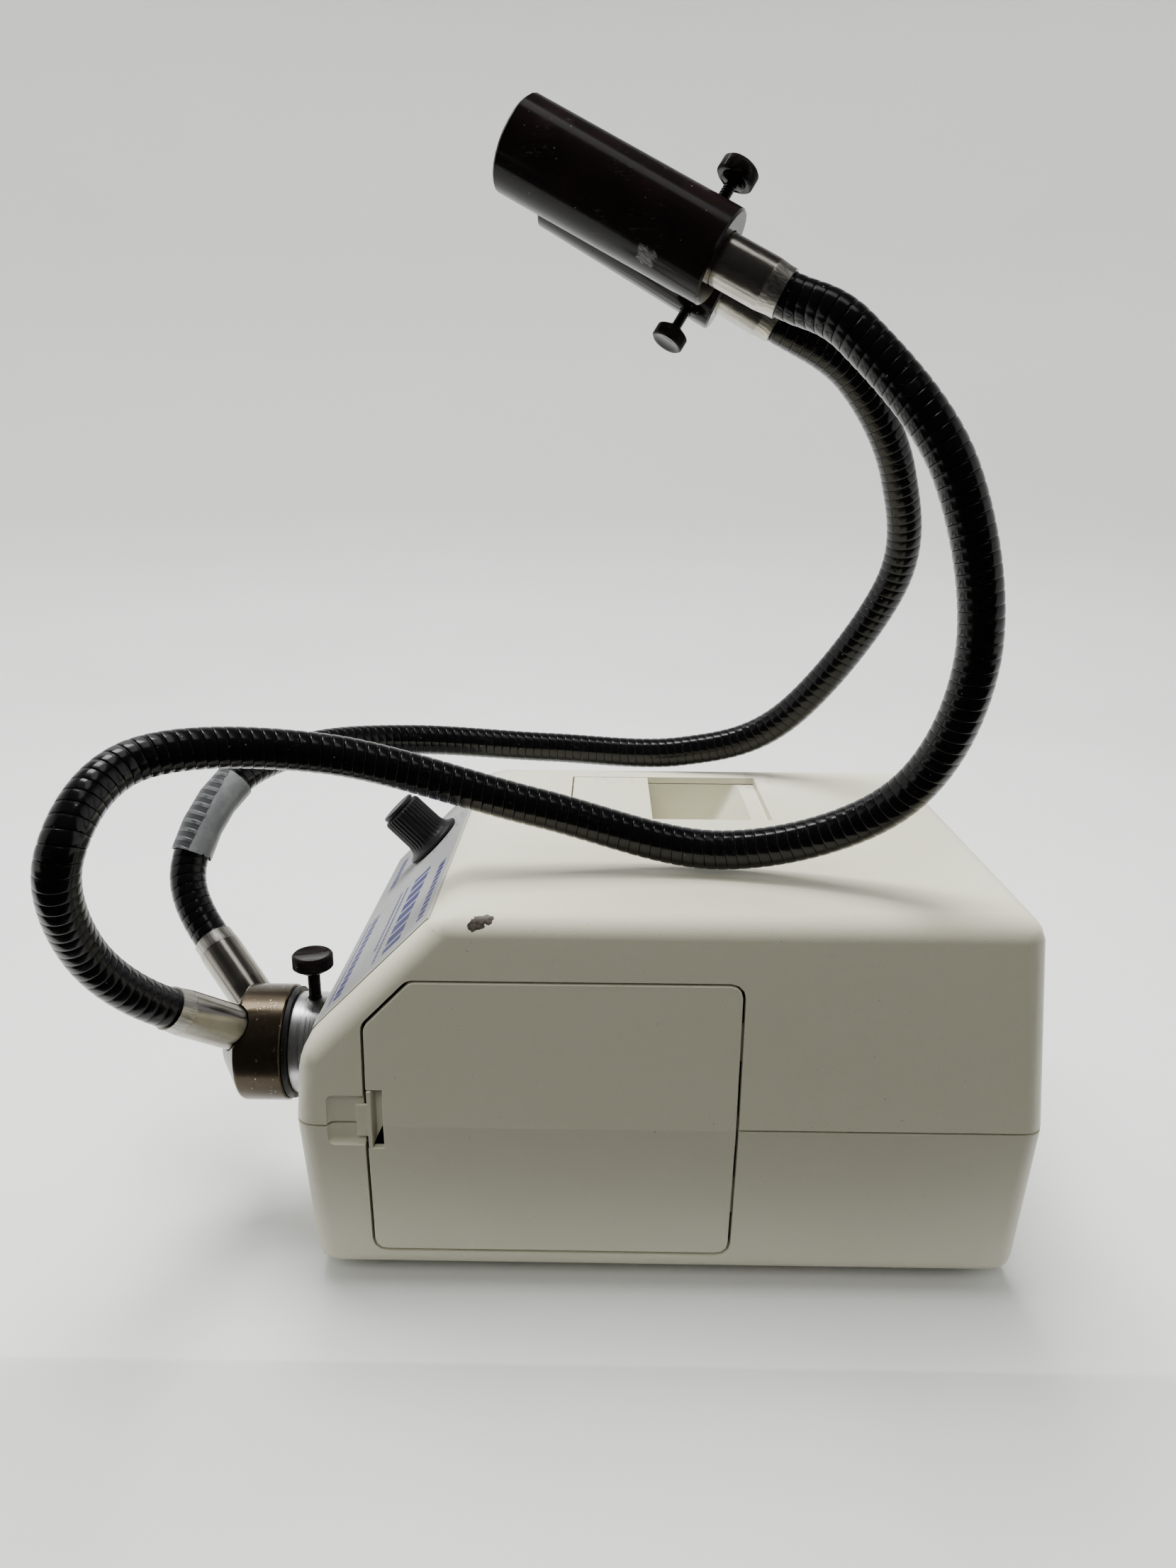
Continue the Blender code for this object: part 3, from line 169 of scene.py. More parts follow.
# ---------------------------------------------------------------- materials
class Paint:
    """A material's nodes. Its patterns are laid in metres, in the row frame at rest."""

    def __init__(self, name, colour, roughness, metallic=0.0):
        self.material = bpy.data.materials.new(name)
        self.material.use_nodes = True
        self.tree = self.material.node_tree
        self.shader = self.tree.nodes["Principled BSDF"]
        self.shader.inputs["Metallic"].default_value = metallic
        self.at = self.node("ShaderNodeTexCoord").outputs["Object"]
        self.colour = (*colour, 1.0)
        self.roughness = roughness
        self.normal = None

    def feed(self, socket, value):
        if isinstance(value, bpy.types.NodeSocket):
            self.tree.links.new(value, socket)
        else:
            socket.default_value = value

    def node(self, kind, values=None, **settings):
        made = self.tree.nodes.new(kind)
        for key, value in settings.items():
            setattr(made, key, value)
        for key, value in (values or {}).items():
            self.feed(made.inputs[key], value)
        return made

    def maths(self, operation, a, b=0.0):
        return self.node("ShaderNodeMath", {0: a, 1: b}, operation=operation).outputs[0]

    def vector(self, operation, a, b):
        return self.node("ShaderNodeVectorMath", {0: a, 1: b}, operation=operation)

    def along(self, direction, origin=(0.0, 0.0, 0.0)):
        """Distance from the origin along a direction."""
        from_origin = self.vector("SUBTRACT", self.at, tuple(origin)).outputs[0]
        return self.vector("DOT_PRODUCT", from_origin, tuple(direction)).outputs["Value"]

    def noise(self, size, detail=2.0, stretch=(1.0, 1.0, 1.0), at=None):
        """Noise with blobs about size metres across."""
        scale = tuple(part / size for part in stretch)
        place = self.vector("MULTIPLY", self.at if at is None else at, scale).outputs[0]
        return self.node("ShaderNodeTexNoise", {"Vector": place, "Scale": 1.0, "Detail": detail}).outputs[0]

    def ramp(self, value, low, high, start=0.0, stop=1.0):
        return self.node("ShaderNodeMapRange",
                         {"Value": value, "From Min": low, "From Max": high, "To Min": start,
                          "To Max": stop}, interpolation_type="SMOOTHSTEP").outputs[0]

    def band(self, value, low, high, soft):
        """1 between low and high, 0 outside."""
        return self.maths("MULTIPLY", self.ramp(value, low - soft, low),
                          self.ramp(value, high, high + soft, 1.0, 0.0))

    def both(self, *masks):
        result = masks[0]
        for mask in masks[1:]:
            result = self.maths("MULTIPLY", result, mask)
        return result

    def tint(self, mask, colour):
        mix = self.node("ShaderNodeMix", {0: mask, 6: self.colour, 7: (*colour, 1.0)}, data_type="RGBA")
        self.colour = mix.outputs[2]

    def roughen(self, mask, roughness):
        mix = self.node("ShaderNodeMix", {0: mask, 2: self.roughness, 3: roughness}, data_type="FLOAT")
        self.roughness = mix.outputs[0]

    def bump(self, height, depth, strength=1.0):
        values = {"Height": height, "Distance": depth, "Strength": strength}
        if self.normal is not None:
            values["Normal"] = self.normal
        self.normal = self.node("ShaderNodeBump", values).outputs[0]

    def scratches(self, size, stretch, width=0.004, patch=0.02):
        """Thin curved lines in patches: a narrow band of a stretched noise."""
        lines = self.noise(size, 1.0, stretch)
        line = self.band(lines, 0.5 - width, 0.5 + width, width)
        return self.both(line, self.ramp(self.noise(patch, 2.0), 0.52, 0.62))

    def specks(self, size, share):
        """Sparse dust specks."""
        return self.ramp(self.noise(size, 0.0), 1.0 - share, 1.0 - share + 0.03)

    def done(self, **sockets):
        self.feed(self.shader.inputs["Base Color"], self.colour)
        self.feed(self.shader.inputs["Roughness"], self.roughness)
        if self.normal is not None:
            self.tree.links.new(self.normal, self.shader.inputs["Normal"])
        for name, value in sockets.items():
            self.shader.inputs[name.replace("_", " ")].default_value = value
        return self.material


def housing_plastic():
    paint = Paint("housing_plastic", (0.650, 0.632, 0.500), 0.44)
    paint.tint(paint.ramp(paint.noise(0.050, 4.0), 0.35, 0.75, 0.0, 0.30), (0.610, 0.586, 0.450))
    paint.tint(paint.ramp(paint.noise(0.012, 5.0), 0.55, 0.75, 0.0, 0.20), (0.680, 0.666, 0.550))
    paint.tint(paint.maths("MULTIPLY", paint.specks(0.0013, 0.140), 0.6), (0.330, 0.320, 0.280))
    paint.roughen(paint.ramp(paint.noise(0.020, 3.0), 0.3, 0.7), 0.37)
    rubbed = paint.scratches(0.010, (0.35, 1.0, 2.4), 0.003, 0.030)
    paint.tint(paint.maths("MULTIPLY", rubbed, 0.22), (0.500, 0.490, 0.440))
    residue = tape_residue(paint)
    paint.tint(paint.maths("MULTIPLY", residue, 0.40), (0.430, 0.430, 0.390))
    paint.roughen(residue, 0.60)
    paint.bump(paint.noise(0.00042, 2.0), 0.000050)
    paint.bump(paint.noise(0.0060, 2.0), 0.00006)
    chip = paint_chip(paint)
    paint.tint(chip, (0.064, 0.056, 0.047))
    paint.tint(paint.both(chip, paint.ramp(paint.noise(0.0012, 3.0), 0.48, 0.60)), (0.032, 0.027, 0.023))
    paint.roughen(chip, 0.26)
    paint.bump(chip, -0.00022)
    return paint.done()


def paint_chip(paint):
    """Chip in the near top edge: ragged patches that run into one another."""
    spread = paint.noise(0.0022, 5.0)
    chip = None
    for place, radius in CHIPS:
        offset = paint.vector("SUBTRACT", paint.at, place).outputs[0]
        far = paint.vector("LENGTH", offset, offset).outputs["Value"]
        ragged = paint.maths("ADD", far, paint.maths("MULTIPLY", spread, radius * 1.5))
        patch = paint.ramp(ragged, radius * 1.66, radius * 1.76, 1.0, 0.0)
        chip = patch if chip is None else paint.maths("MAXIMUM", chip, patch)
    return chip


def tape_residue(paint):
    """Two faint patches that old tape has left on the top."""
    x, y = (paint.along(axis) for axis in ((1, 0, 0), (0, 1, 0)))
    ragged = paint.maths("MULTIPLY", paint.maths("SUBTRACT", paint.noise(0.004, 4.0), 0.5), 0.004)
    x = paint.maths("ADD", x, ragged)
    masks = []
    for low_x, high_x, low_y, high_y in RESIDUE:
        masks.append(paint.both(paint.band(x, low_x, high_x, 0.0006), paint.band(y, low_y, high_y, 0.0006)))
    whole = paint.maths("MAXIMUM", masks[0], masks[1])
    return paint.both(whole, paint.ramp(paint.noise(0.0030, 4.0), 0.40, 0.62, 0.15, 1.0))


def label_film():
    """Pale film with dial dots round the knob and rows of plain blue blocks."""
    paint = Paint("label_film", (0.245, 0.248, 0.250), 0.46)
    low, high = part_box("front_label")
    right, up = Vector((1, 0, 0)), Vector((0, cos(LABEL_SLOPE), sin(LABEL_SLOPE)))
    x = paint.along(right, low)
    rise = paint.along(up, low)
    width = high.x - low.x
    height = (high.z - low.z) / sin(LABEL_SLOPE)
    paint.tint(paint.ramp(paint.noise(0.020, 4.0), 0.4, 0.8, 0.0, 0.35), (0.215, 0.218, 0.220))
    inside = paint.both(paint.band(x, LABEL_RIM, width - LABEL_RIM, 0.0002),
                        paint.band(rise, LABEL_RIM, height - LABEL_RIM, 0.0002))
    paint.tint(paint.maths("SUBTRACT", 1.0, inside), (0.380, 0.375, 0.330))
    for left, right_end, bottom, top, block in LABEL_STRIPES:
        stripe = paint.both(paint.band(x, width * left, width * right_end, 0.0001),
                            paint.band(rise, height * bottom, height * top, 0.0001))
        gaps = paint.maths("GREATER_THAN", paint.maths("FRACT", paint.maths("DIVIDE", x, block)), BLOCK_GAP)
        paint.tint(paint.both(stripe, gaps), LABEL_BLUE)
    knob = Vector(JOINTS["knob_turn"]["pos_m"])
    across = paint.maths("SUBTRACT", x, knob.x - low.x)
    above = paint.maths("SUBTRACT", rise, (knob - low).dot(up))
    angle = paint.maths("ARCTAN2", across, above)
    turns = paint.maths("DIVIDE", angle, DOT_SPACING)
    past = paint.maths("SUBTRACT", turns, paint.maths("ROUND", turns))
    distance = paint.maths("SQRT", paint.maths("ADD", paint.maths("POWER", across, 2.0),
                                               paint.maths("POWER", above, 2.0)))
    sideways = paint.maths("MULTIPLY", past, DOT_SPACING * DOT_RING)
    outward = paint.maths("SUBTRACT", distance, DOT_RING)
    from_dot = paint.maths("SQRT", paint.maths("ADD", paint.maths("POWER", sideways, 2.0),
                                               paint.maths("POWER", outward, 2.0)))
    size = paint.ramp(paint.maths("ABSOLUTE", angle), 0.0, 2.4, 0.00075, 0.00045)
    dot = paint.maths("LESS_THAN", from_dot, size)
    swept = paint.maths("LESS_THAN", paint.maths("ABSOLUTE", angle), DOT_SWEEP)
    paint.tint(paint.both(dot, swept), (0.020, 0.020, 0.024))
    paint.tint(paint.specks(0.0018, 0.170), (0.200, 0.200, 0.200))
    paint.roughen(paint.ramp(paint.noise(0.008, 3.0), 0.4, 0.7), 0.42)
    paint.bump(paint.noise(0.0006, 2.0), 0.00001)
    return paint.done(Specular_IOR_Level=0.05)


def black_plastic():
    paint = Paint("black_plastic", (0.0065, 0.0065, 0.0072), 0.40)
    paint.tint(paint.ramp(paint.noise(0.004, 4.0), 0.5, 0.8, 0.0, 0.5), (0.0140, 0.0140, 0.0146))
    paint.roughen(paint.ramp(paint.noise(0.003, 4.0), 0.3, 0.7), 0.50)
    paint.tint(paint.specks(0.0009, 0.160), (0.120, 0.115, 0.105))
    paint.bump(paint.noise(0.00025, 2.0), 0.00002)
    return paint.done(Specular_IOR_Level=0.30)


def black_rubber():
    paint = Paint("black_rubber", (0.020, 0.020, 0.020), 0.75)
    paint.tint(paint.ramp(paint.noise(0.003, 5.0), 0.45, 0.8), (0.065, 0.063, 0.060))
    paint.bump(paint.noise(0.0005, 3.0), 0.00006)
    return paint.done()


def black_anodised():
    paint = Paint("black_anodised", (0.0056, 0.0042, 0.0040), 0.15)
    # Brown patches scattered at random: a painted reflection of the housing and floor, as seen in the barrels'
    # lower halves
    paint.tint(paint.ramp(paint.noise(0.012, 4.0), 0.4, 0.8, 0.0, 0.8), (0.0110, 0.0062, 0.0058))
    paint.roughen(paint.ramp(paint.noise(0.006, 5.0), 0.50, 0.80), 0.26)
    fine = paint.scratches(0.0035, (0.6, 0.4, 3.0), 0.004, 0.010)
    paint.tint(paint.maths("MULTIPLY", fine, 0.20), (0.100, 0.090, 0.080))
    paint.tint(paint.specks(0.0009, 0.150), (0.150, 0.140, 0.130))
    scrape = scraped_patch(paint)
    paint.tint(paint.maths("MULTIPLY", scrape, 0.70), (0.260, 0.250, 0.240))
    paint.roughen(scrape, 0.55)
    paint.bump(paint.noise(0.0030, 2.0, (1.0, 0.1, 1.0)), 0.000004)
    return paint.done(Specular_IOR_Level=0.14)


def scraped_patch(paint):
    """Dull pale smear in the near barrel's side, brushed lengthwise."""
    offset = paint.vector("SUBTRACT", paint.at, SCRAPE_PLACE).outputs[0]
    along_barrel = paint.along(SCRAPE_AXIS, SCRAPE_PLACE)
    lengthwise = paint.vector("PROJECT", offset, SCRAPE_AXIS).outputs[0]
    across = paint.vector("SUBTRACT", offset, lengthwise).outputs[0]
    shortened = paint.vector("MULTIPLY", lengthwise, (0.25, 0.25, 0.25)).outputs[0]
    drift = paint.vector("ADD", across, shortened).outputs[0]
    reach = paint.vector("LENGTH", across, across).outputs["Value"]
    wavy = paint.maths("MULTIPLY", paint.maths("SUBTRACT", paint.noise(0.0016, 4.0), 0.5), 0.0034)
    patch = paint.both(paint.band(paint.maths("ADD", along_barrel, wavy), -0.0019, 0.0019, 0.0009),
                       paint.ramp(paint.maths("ADD", reach, wavy), 0.0018, 0.0030, 1.0, 0.0))
    brushed = paint.noise(0.0004, 3.0, at=drift)
    return paint.both(patch, paint.ramp(brushed, 0.34, 0.62, 0.25, 1.0))


def conduit_black():
    paint = Paint("conduit_black", (0.0022, 0.0022, 0.0026), 0.16)
    paint.tint(paint.ramp(paint.noise(0.006, 5.0), 0.55, 0.8, 0.0, 0.6), (0.0060, 0.0060, 0.0064))
    paint.roughen(paint.ramp(paint.noise(0.0045, 5.0), 0.50, 0.80), 0.26)
    scuffs = paint.scratches(0.0035, (1.0, 0.5, 1.6), 0.003, 0.012)
    paint.tint(paint.maths("MULTIPLY", scuffs, 0.15), (0.100, 0.100, 0.100))
    paint.tint(paint.specks(0.0008, 0.140), (0.140, 0.135, 0.125))
    paint.bump(paint.noise(0.0020, 2.0), 0.000006)
    return paint.done(Specular_IOR_Level=0.30)


def bronze_anodised():
    paint = Paint("bronze_anodised", (0.082, 0.064, 0.042), 0.24, 0.90)
    paint.tint(paint.ramp(paint.noise(0.012, 4.0), 0.35, 0.75), (0.066, 0.050, 0.032))
    rings = paint.noise(0.0004, 3.0, (0.02, 1.0, 0.02))
    paint.roughen(paint.ramp(rings, 0.35, 0.7), 0.26)
    paint.bump(rings, 0.0000012)
    nicks = paint.scratches(0.0016, (1.0, 0.7, 1.2), 0.004, 0.006)
    paint.tint(paint.maths("MULTIPLY", nicks, 0.45), (0.400, 0.360, 0.310))
    paint.tint(paint.specks(0.0009, 0.200), (0.460, 0.420, 0.370))
    return paint.done()


def steel():
    """Polished tube with drawing lines, and bright crimp marks where it is swaged to the conduit."""
    paint = Paint("steel", (0.370, 0.350, 0.308), 0.19, 1.0)
    paint.tint(paint.ramp(paint.noise(0.008, 3.0), 0.40, 0.75), (0.300, 0.280, 0.240))
    marks = paint.scratches(0.0022, (1.4, 0.8, 0.5), 0.005, 0.007)
    paint.tint(paint.maths("MULTIPLY", marks, 0.30), (0.200, 0.188, 0.165))
    lines = crimp = 0.0
    for place, axis in ferrules():
        offset = paint.vector("SUBTRACT", paint.at, tuple(place + HOUSING_ORIGIN)).outputs[0]
        far = paint.vector("LENGTH", offset, offset).outputs["Value"]
        lengthwise = paint.vector("PROJECT", offset, tuple(axis)).outputs[0]
        across = paint.vector("SUBTRACT", offset, lengthwise).outputs[0]
        near = paint.ramp(far, FERRULE_REACH, FERRULE_REACH + 0.002, 1.0, 0.0)
        drawn = paint.both(paint.noise(0.0005, 3.0, at=across), near)
        lines = paint.maths("MAXIMUM", lines, drawn)
        swaged = paint.ramp(far, CRIMP_REACH - 0.0006, CRIMP_REACH, 1.0, 0.0)
        crimp = paint.maths("MAXIMUM", crimp, swaged)
    paint.tint(paint.both(crimp, paint.ramp(lines, 0.42, 0.56)), (0.500, 0.485, 0.450))
    paint.roughen(paint.ramp(lines, 0.40, 0.65), 0.27)
    paint.roughen(crimp, 0.34)
    paint.bump(lines, 0.000010)
    paint.bump(paint.both(lines, crimp), 0.00012)
    return paint.done()


def ferrules():
    """Where each ferrule meets its conduit, and the direction in which the ferrule runs from there."""
    for route in ROUTES.values():
        first, last = Vector(route["points"][0]), Vector(route["points"][-1])
        yield first, (Vector(route["foot"]) - first).normalized()
        yield last, (last - Vector(route["points"][-2])).normalized()


def aluminium():
    paint = Paint("aluminium", (0.740, 0.745, 0.750), 0.26, 1.0)
    rings = paint.noise(0.0005, 3.0, (0.02, 1.0, 0.02))
    paint.roughen(paint.ramp(rings, 0.3, 0.7), 0.40)
    paint.bump(rings, 0.000012)
    paint.tint(paint.ramp(paint.noise(0.005, 4.0), 0.5, 0.8), (0.560, 0.560, 0.555))
    return paint.done()


def sheet_steel():
    paint = Paint("sheet_steel", (0.430, 0.435, 0.435), 0.42, 0.55)
    paint.tint(paint.ramp(paint.noise(0.018, 4.0), 0.4, 0.75), (0.500, 0.505, 0.500))
    paint.roughen(paint.ramp(paint.noise(0.004, 4.0), 0.35, 0.7), 0.52)
    rubbed = paint.scratches(0.012, (0.5, 1.0, 2.0), 0.004, 0.030)
    paint.tint(paint.maths("MULTIPLY", rubbed, 0.5), (0.620, 0.620, 0.610))
    paint.bump(paint.noise(0.0007, 3.0), 0.000020)
    return paint.done()


def core_steel():
    """Varnished laminations: fine lines across the stack."""
    paint = Paint("core_steel", (0.075, 0.072, 0.070), 0.42, 0.4)
    sheets = paint.noise(0.0009, 1.0, (0.02, 1.0, 0.02))
    paint.tint(paint.ramp(sheets, 0.45, 0.6), (0.140, 0.132, 0.124))
    paint.bump(sheets, 0.00012)
    paint.tint(paint.ramp(paint.noise(0.008, 4.0), 0.6, 0.8), (0.160, 0.090, 0.050))
    return paint.done()


def coil_wrap():
    paint = Paint("coil_wrap", (0.560, 0.390, 0.060), 0.34)
    wraps = paint.noise(0.0060, 1.0, (0.05, 0.05, 1.0))
    paint.bump(wraps, 0.00030)
    paint.tint(paint.ramp(wraps, 0.4, 0.6), (0.470, 0.310, 0.045))
    paint.roughen(paint.ramp(paint.noise(0.004, 3.0), 0.4, 0.7), 0.48)
    return paint.done()


def circuit_board():
    paint = Paint("circuit_board", (0.012, 0.085, 0.030), 0.36)
    tracks = paint.noise(0.0030, 0.0, (1.0, 0.25, 1.0))
    paint.tint(paint.band(tracks, 0.48, 0.53, 0.01), (0.030, 0.170, 0.055))
    pads = paint.specks(0.0022, 0.27)
    paint.tint(pads, (0.520, 0.510, 0.480))
    paint.bump(tracks, 0.00004)
    return paint.done()


def ceramic():
    paint = Paint("ceramic", (0.720, 0.705, 0.650), 0.55)
    paint.tint(paint.ramp(paint.noise(0.004, 4.0), 0.5, 0.8), (0.600, 0.560, 0.480))
    paint.bump(paint.noise(0.0006, 3.0), 0.00004)
    return paint.done()


def glass():
    paint = Paint("glass", (0.960, 0.975, 0.970), 0.03)
    paint.roughen(paint.ramp(paint.noise(0.004, 4.0), 0.55, 0.85), 0.10)
    return paint.done(Transmission_Weight=1.0, IOR=1.49)


def reflector_glass():
    paint = Paint("reflector_glass", (0.700, 0.690, 0.740), 0.10, 1.0)
    paint.tint(paint.ramp(paint.noise(0.010, 2.0), 0.4, 0.7), (0.620, 0.560, 0.700))
    facets = paint.node("ShaderNodeTexVoronoi", {"Vector": paint.at, "Scale": 260.0}).outputs[0]
    paint.bump(facets, 0.0008)
    return paint.done()


def tape():
    """Blank grey paper under clear tape. The clear tape alone shows the conduit's turns."""
    paint = Paint("tape", (0.150, 0.160, 0.165), 0.30)
    paint.tint(paint.ramp(paint.noise(0.004, 4.0), 0.4, 0.75), (0.200, 0.210, 0.212))
    paint.tint(paint.scratches(0.003, (1.0, 1.0, 0.6), 0.010, 0.006), (0.110, 0.116, 0.120))
    ragged = paint.maths("MULTIPLY", paint.noise(0.003, 3.0), 0.0012)
    clear = paint.ramp(paint.maths("ADD", paint.along(TAPE_SIDE, TAPE_PLACE), ragged), 0.0021, 0.0024)
    turn = paint.maths("DIVIDE", paint.along(TAPE_AXIS, TAPE_PLACE), CONDUIT_PITCH / (2 * pi))
    stripes = paint.ramp(paint.maths("SINE", paint.maths("ADD", turn, paint.noise(0.004))), -0.2, 0.6)
    paint.tint(clear, (0.040, 0.042, 0.045))
    worn = paint.ramp(paint.noise(0.0025, 3.0), 0.3, 0.6)
    paint.tint(paint.both(clear, stripes, worn), (0.105, 0.110, 0.114))
    paint.bump(paint.noise(0.0018, 3.0), 0.00008)
    paint.bump(paint.both(clear, stripes), 0.00015)
    return paint.done()


def switch_red():
    paint = Paint("switch_red", (0.420, 0.020, 0.014), 0.24)
    paint.tint(paint.ramp(paint.noise(0.003, 3.0), 0.5, 0.8), (0.330, 0.014, 0.010))
    paint.roughen(paint.ramp(paint.noise(0.002, 3.0), 0.4, 0.7), 0.34)
    paint.bump(paint.noise(0.0005, 2.0), 0.00001)
    return paint.done(Coat_Weight=0.3)


MAKERS = (housing_plastic, label_film, black_plastic, black_rubber, black_anodised, conduit_black,
          bronze_anodised, steel, aluminium, sheet_steel, core_steel, coil_wrap, circuit_board, ceramic,
          glass, reflector_glass, tape, switch_red)
MATERIALS = {maker.__name__: maker() for maker in MAKERS}


# ---------------------------------------------------------------- shapes
def piece(name, vertices, faces, slot, crease=35.0):
    """Mesh object with smooth faces and sharp edges where they turn by more than crease degrees."""
    mesh = bpy.data.meshes.new(name)
    mesh.from_pydata([tuple(vertex) for vertex in vertices], [], faces)
    mesh.validate()
    mesh.shade_smooth()
    mesh.set_sharp_from_angle(angle=radians(crease))
    mesh.materials.append(MATERIALS[slot])
    made = bpy.data.objects.new(name, mesh)
    bpy.context.scene.collection.objects.link(made)
    return made


def placed(made, node):
    """Stands for a CAD node and rides with its body."""
    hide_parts(node)
    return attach(made, BODY_OF[node])


def refined(node, rounding=0.0, crease=32.0):
    """A CAD node's own shape with joined corners, softened edges and clean shading."""
    source = frame["nodes"][node].data
    shape = bmesh.new()
    corners = [shape.verts.new(vertex.co) for vertex in source.vertices]
    for polygon in source.polygons:
        shape.faces.new([corners[index] for index in polygon.vertices])
    bmesh.ops.remove_doubles(shape, verts=shape.verts, dist=2e-6)
    bmesh.ops.dissolve_limit(shape, angle_limit=radians(0.6), verts=shape.verts, edges=shape.edges)
    shape.verts.index_update()
    vertices = [vertex.co.copy() for vertex in shape.verts]
    faces = [[vertex.index for vertex in face.verts] for face in shape.faces]
    shape.free()
    made = piece(node + "_surface", vertices, faces, SLOT_OF[node], crease)
    keep_kinks(made.data)
    if rounding:
        edges = made.modifiers.new("edges", "BEVEL")
        edges.width = rounding
        edges.segments = 2
        edges.limit_method = "ANGLE"
        edges.angle_limit = radians(crease + 8.0)
        edges.miter_outer = "MITER_ARC"
    weighted = made.modifiers.new("shading", "WEIGHTED_NORMAL")
    weighted.keep_sharp = True
    return placed(made, node)


def keep_kinks(mesh):
    """Sharp edges where two broad flat faces meet at a slight angle."""
    shape = bmesh.new()
    shape.from_mesh(mesh)
    for edge in shape.edges:
        broad = len(edge.link_faces) == 2 and min(face.calc_area() for face in edge.link_faces) > BROAD_FACE
        if broad and edge.calc_face_angle() > KINK:
            edge.smooth = False
    shape.to_mesh(mesh)
    shape.free()


def cross_axes(axis):
    """Two directions square to an axis and to each other; side, up and axis are right-handed."""
    axis = Vector(axis).normalized()
    helper = Vector((0, 0, 1)) if abs(axis.z) < 0.9 else Vector((0, 1, 0))
    side = helper.cross(axis).normalized()
    return side, axis.cross(side)


def lathe(profile, origin, axis, columns=96, ridge=None):
    """Vertices and faces of a turned shape. The profile's (radius, height) points run upwards outside.

    ridge(column, row) adds to a point's radius, for ribs and knurls."""
    axis = Vector(axis).normalized()
    side, up = cross_axes(axis)
    vertices, faces, rows = [], [], []
    for row, (radius, height) in enumerate(profile):
        centre = origin + axis * height
        if radius == 0.0:
            vertices.append(centre)
            rows.append([len(vertices) - 1] * columns)
            continue
        ring = []
        for column in range(columns):
            angle = 2 * pi * column / columns
            reach = radius + (ridge(column, row) if ridge else 0.0)
            vertices.append(centre + (side * cos(angle) + up * sin(angle)) * reach)
            ring.append(len(vertices) - 1)
        rows.append(ring)
    for low, high in zip(rows, rows[1:]):
        for column in range(columns):
            after = (column + 1) % columns
            corners = [low[column], low[after], high[after], high[column]]
            faces.append(list(dict.fromkeys(corners)))
    return vertices, [face for face in faces if len(face) > 2]


def joined(*shapes):
    """Several shapes' vertices and faces as one shape's."""
    vertices, faces = [], []
    for more_vertices, more_faces in shapes:
        start = len(vertices)
        vertices += more_vertices
        faces += [[index + start for index in face] for face in more_faces]
    return vertices, faces


class Route:
    """A path with its length and a frame that follows it without twisting."""

    def __init__(self, points):
        self.points = points
        self.lengths = [0.0]
        for a, b in zip(points, points[1:]):
            self.lengths.append(self.lengths[-1] + (b - a).length)
        self.length = self.lengths[-1]
        ahead = [(b - a).normalized() for a, b in zip(points, points[1:])]
        self.tangents = [ahead[0], *[(a + b).normalized() for a, b in zip(ahead, ahead[1:])], ahead[-1]]
        side, _ = cross_axes(self.tangents[0])
        self.sides = [side]
        for tangent in self.tangents[1:]:
            side = (side - tangent * side.dot(tangent)).normalized()
            self.sides.append(side)

    def at(self, length):
        """Centre and two directions across the path, at a length along it."""
        """Centre, side and up at a length along the path."""
        length = min(max(length, 0.0), self.length)
        index = min(bisect_right(self.lengths, length) - 1, len(self.points) - 2)
        share = (length - self.lengths[index]) / (self.lengths[index + 1] - self.lengths[index])
        centre = self.points[index].lerp(self.points[index + 1], share)
        tangent = self.tangents[index].lerp(self.tangents[index + 1], share).normalized()
        side = self.sides[index].lerp(self.sides[index + 1], share)
        side = (side - tangent * side.dot(tangent)).normalized()
        return centre, side, tangent.cross(side)


def wound(route, pitch, columns, profile, radius, first=0, last=None):
    """Bands that wind round a route, from one column to another.

    The profile's points are (share of the pitch, height above the radius)."""
    whole = int((route.length / pitch - 1.0) * columns)
    last = whole if last is None else min(last, whole)
    vertices, faces, numbers = [], [], {}

    def corner(column, row):
        if (column, row) not in numbers:
            share, proud = profile[row]
            centre, side, up = route.at((column / columns + share) * pitch)
            angle = 2 * pi * column / columns
            numbers[column, row] = len(vertices)
            vertices.append(centre + (side * cos(angle) + up * sin(angle)) * (radius + proud))
        return numbers[column, row]

    top = len(profile) - 1
    for column in range(first, last):
        for row in range(top):
            faces.append((corner(column, row), corner(column + 1, row), corner(column + 1, row + 1),
                          corner(column, row + 1)))
        if column + columns < whole:
            faces.append((corner(column, top), corner(column + 1, top), corner(column + columns + 1, 0),
                          corner(column + columns, 0)))
    return vertices, faces


def extent(node, origin, axis):
    """Lowest and highest distance of a CAD node's vertices along an axis."""
    reach = [(vertex.co - origin).dot(axis) for vertex in frame["nodes"][node].data.vertices]
    return min(reach), max(reach)


# ---------------------------------------------------------------- goosenecks
def smooth_points(points, start_direction, end_direction, steps=90):
    """Points close together along the smooth curve through the route's points."""
    reach = (points[1] - points[0]).length
    before = points[1] - start_direction.normalized() * reach * 2
    reach = (points[-1] - points[-2]).length
    after = points[-2] + end_direction.normalized() * reach * 2
    path = [before, *points, after]
    fine, marks = [], []
    for index in range(1, len(path) - 2):
        marks.append(len(fine))
        a, b, c, d = path[index - 1:index + 3]
        for step in range(steps):
            t = step / steps
            fine.append(0.5 * (2 * b + (c - a) * t + (2 * a - 5 * b + 4 * c - d) * t ** 2
                               + (3 * b - a - 3 * c + d) * t ** 3))
    marks.append(len(fine))
    fine.append(path[-2])
    return fine, marks


def ball(centre, radius):
    """Vertices and faces of a sphere."""
    slopes = [pi * ring / BALL_RINGS for ring in range(1, BALL_RINGS)]
    profile = [(0.0, -radius), *[(radius * sin(slope), -radius * cos(slope)) for slope in slopes],
               (0.0, radius)]
    return lathe(profile, centre, (0, 0, 1), BALL_COLUMNS)


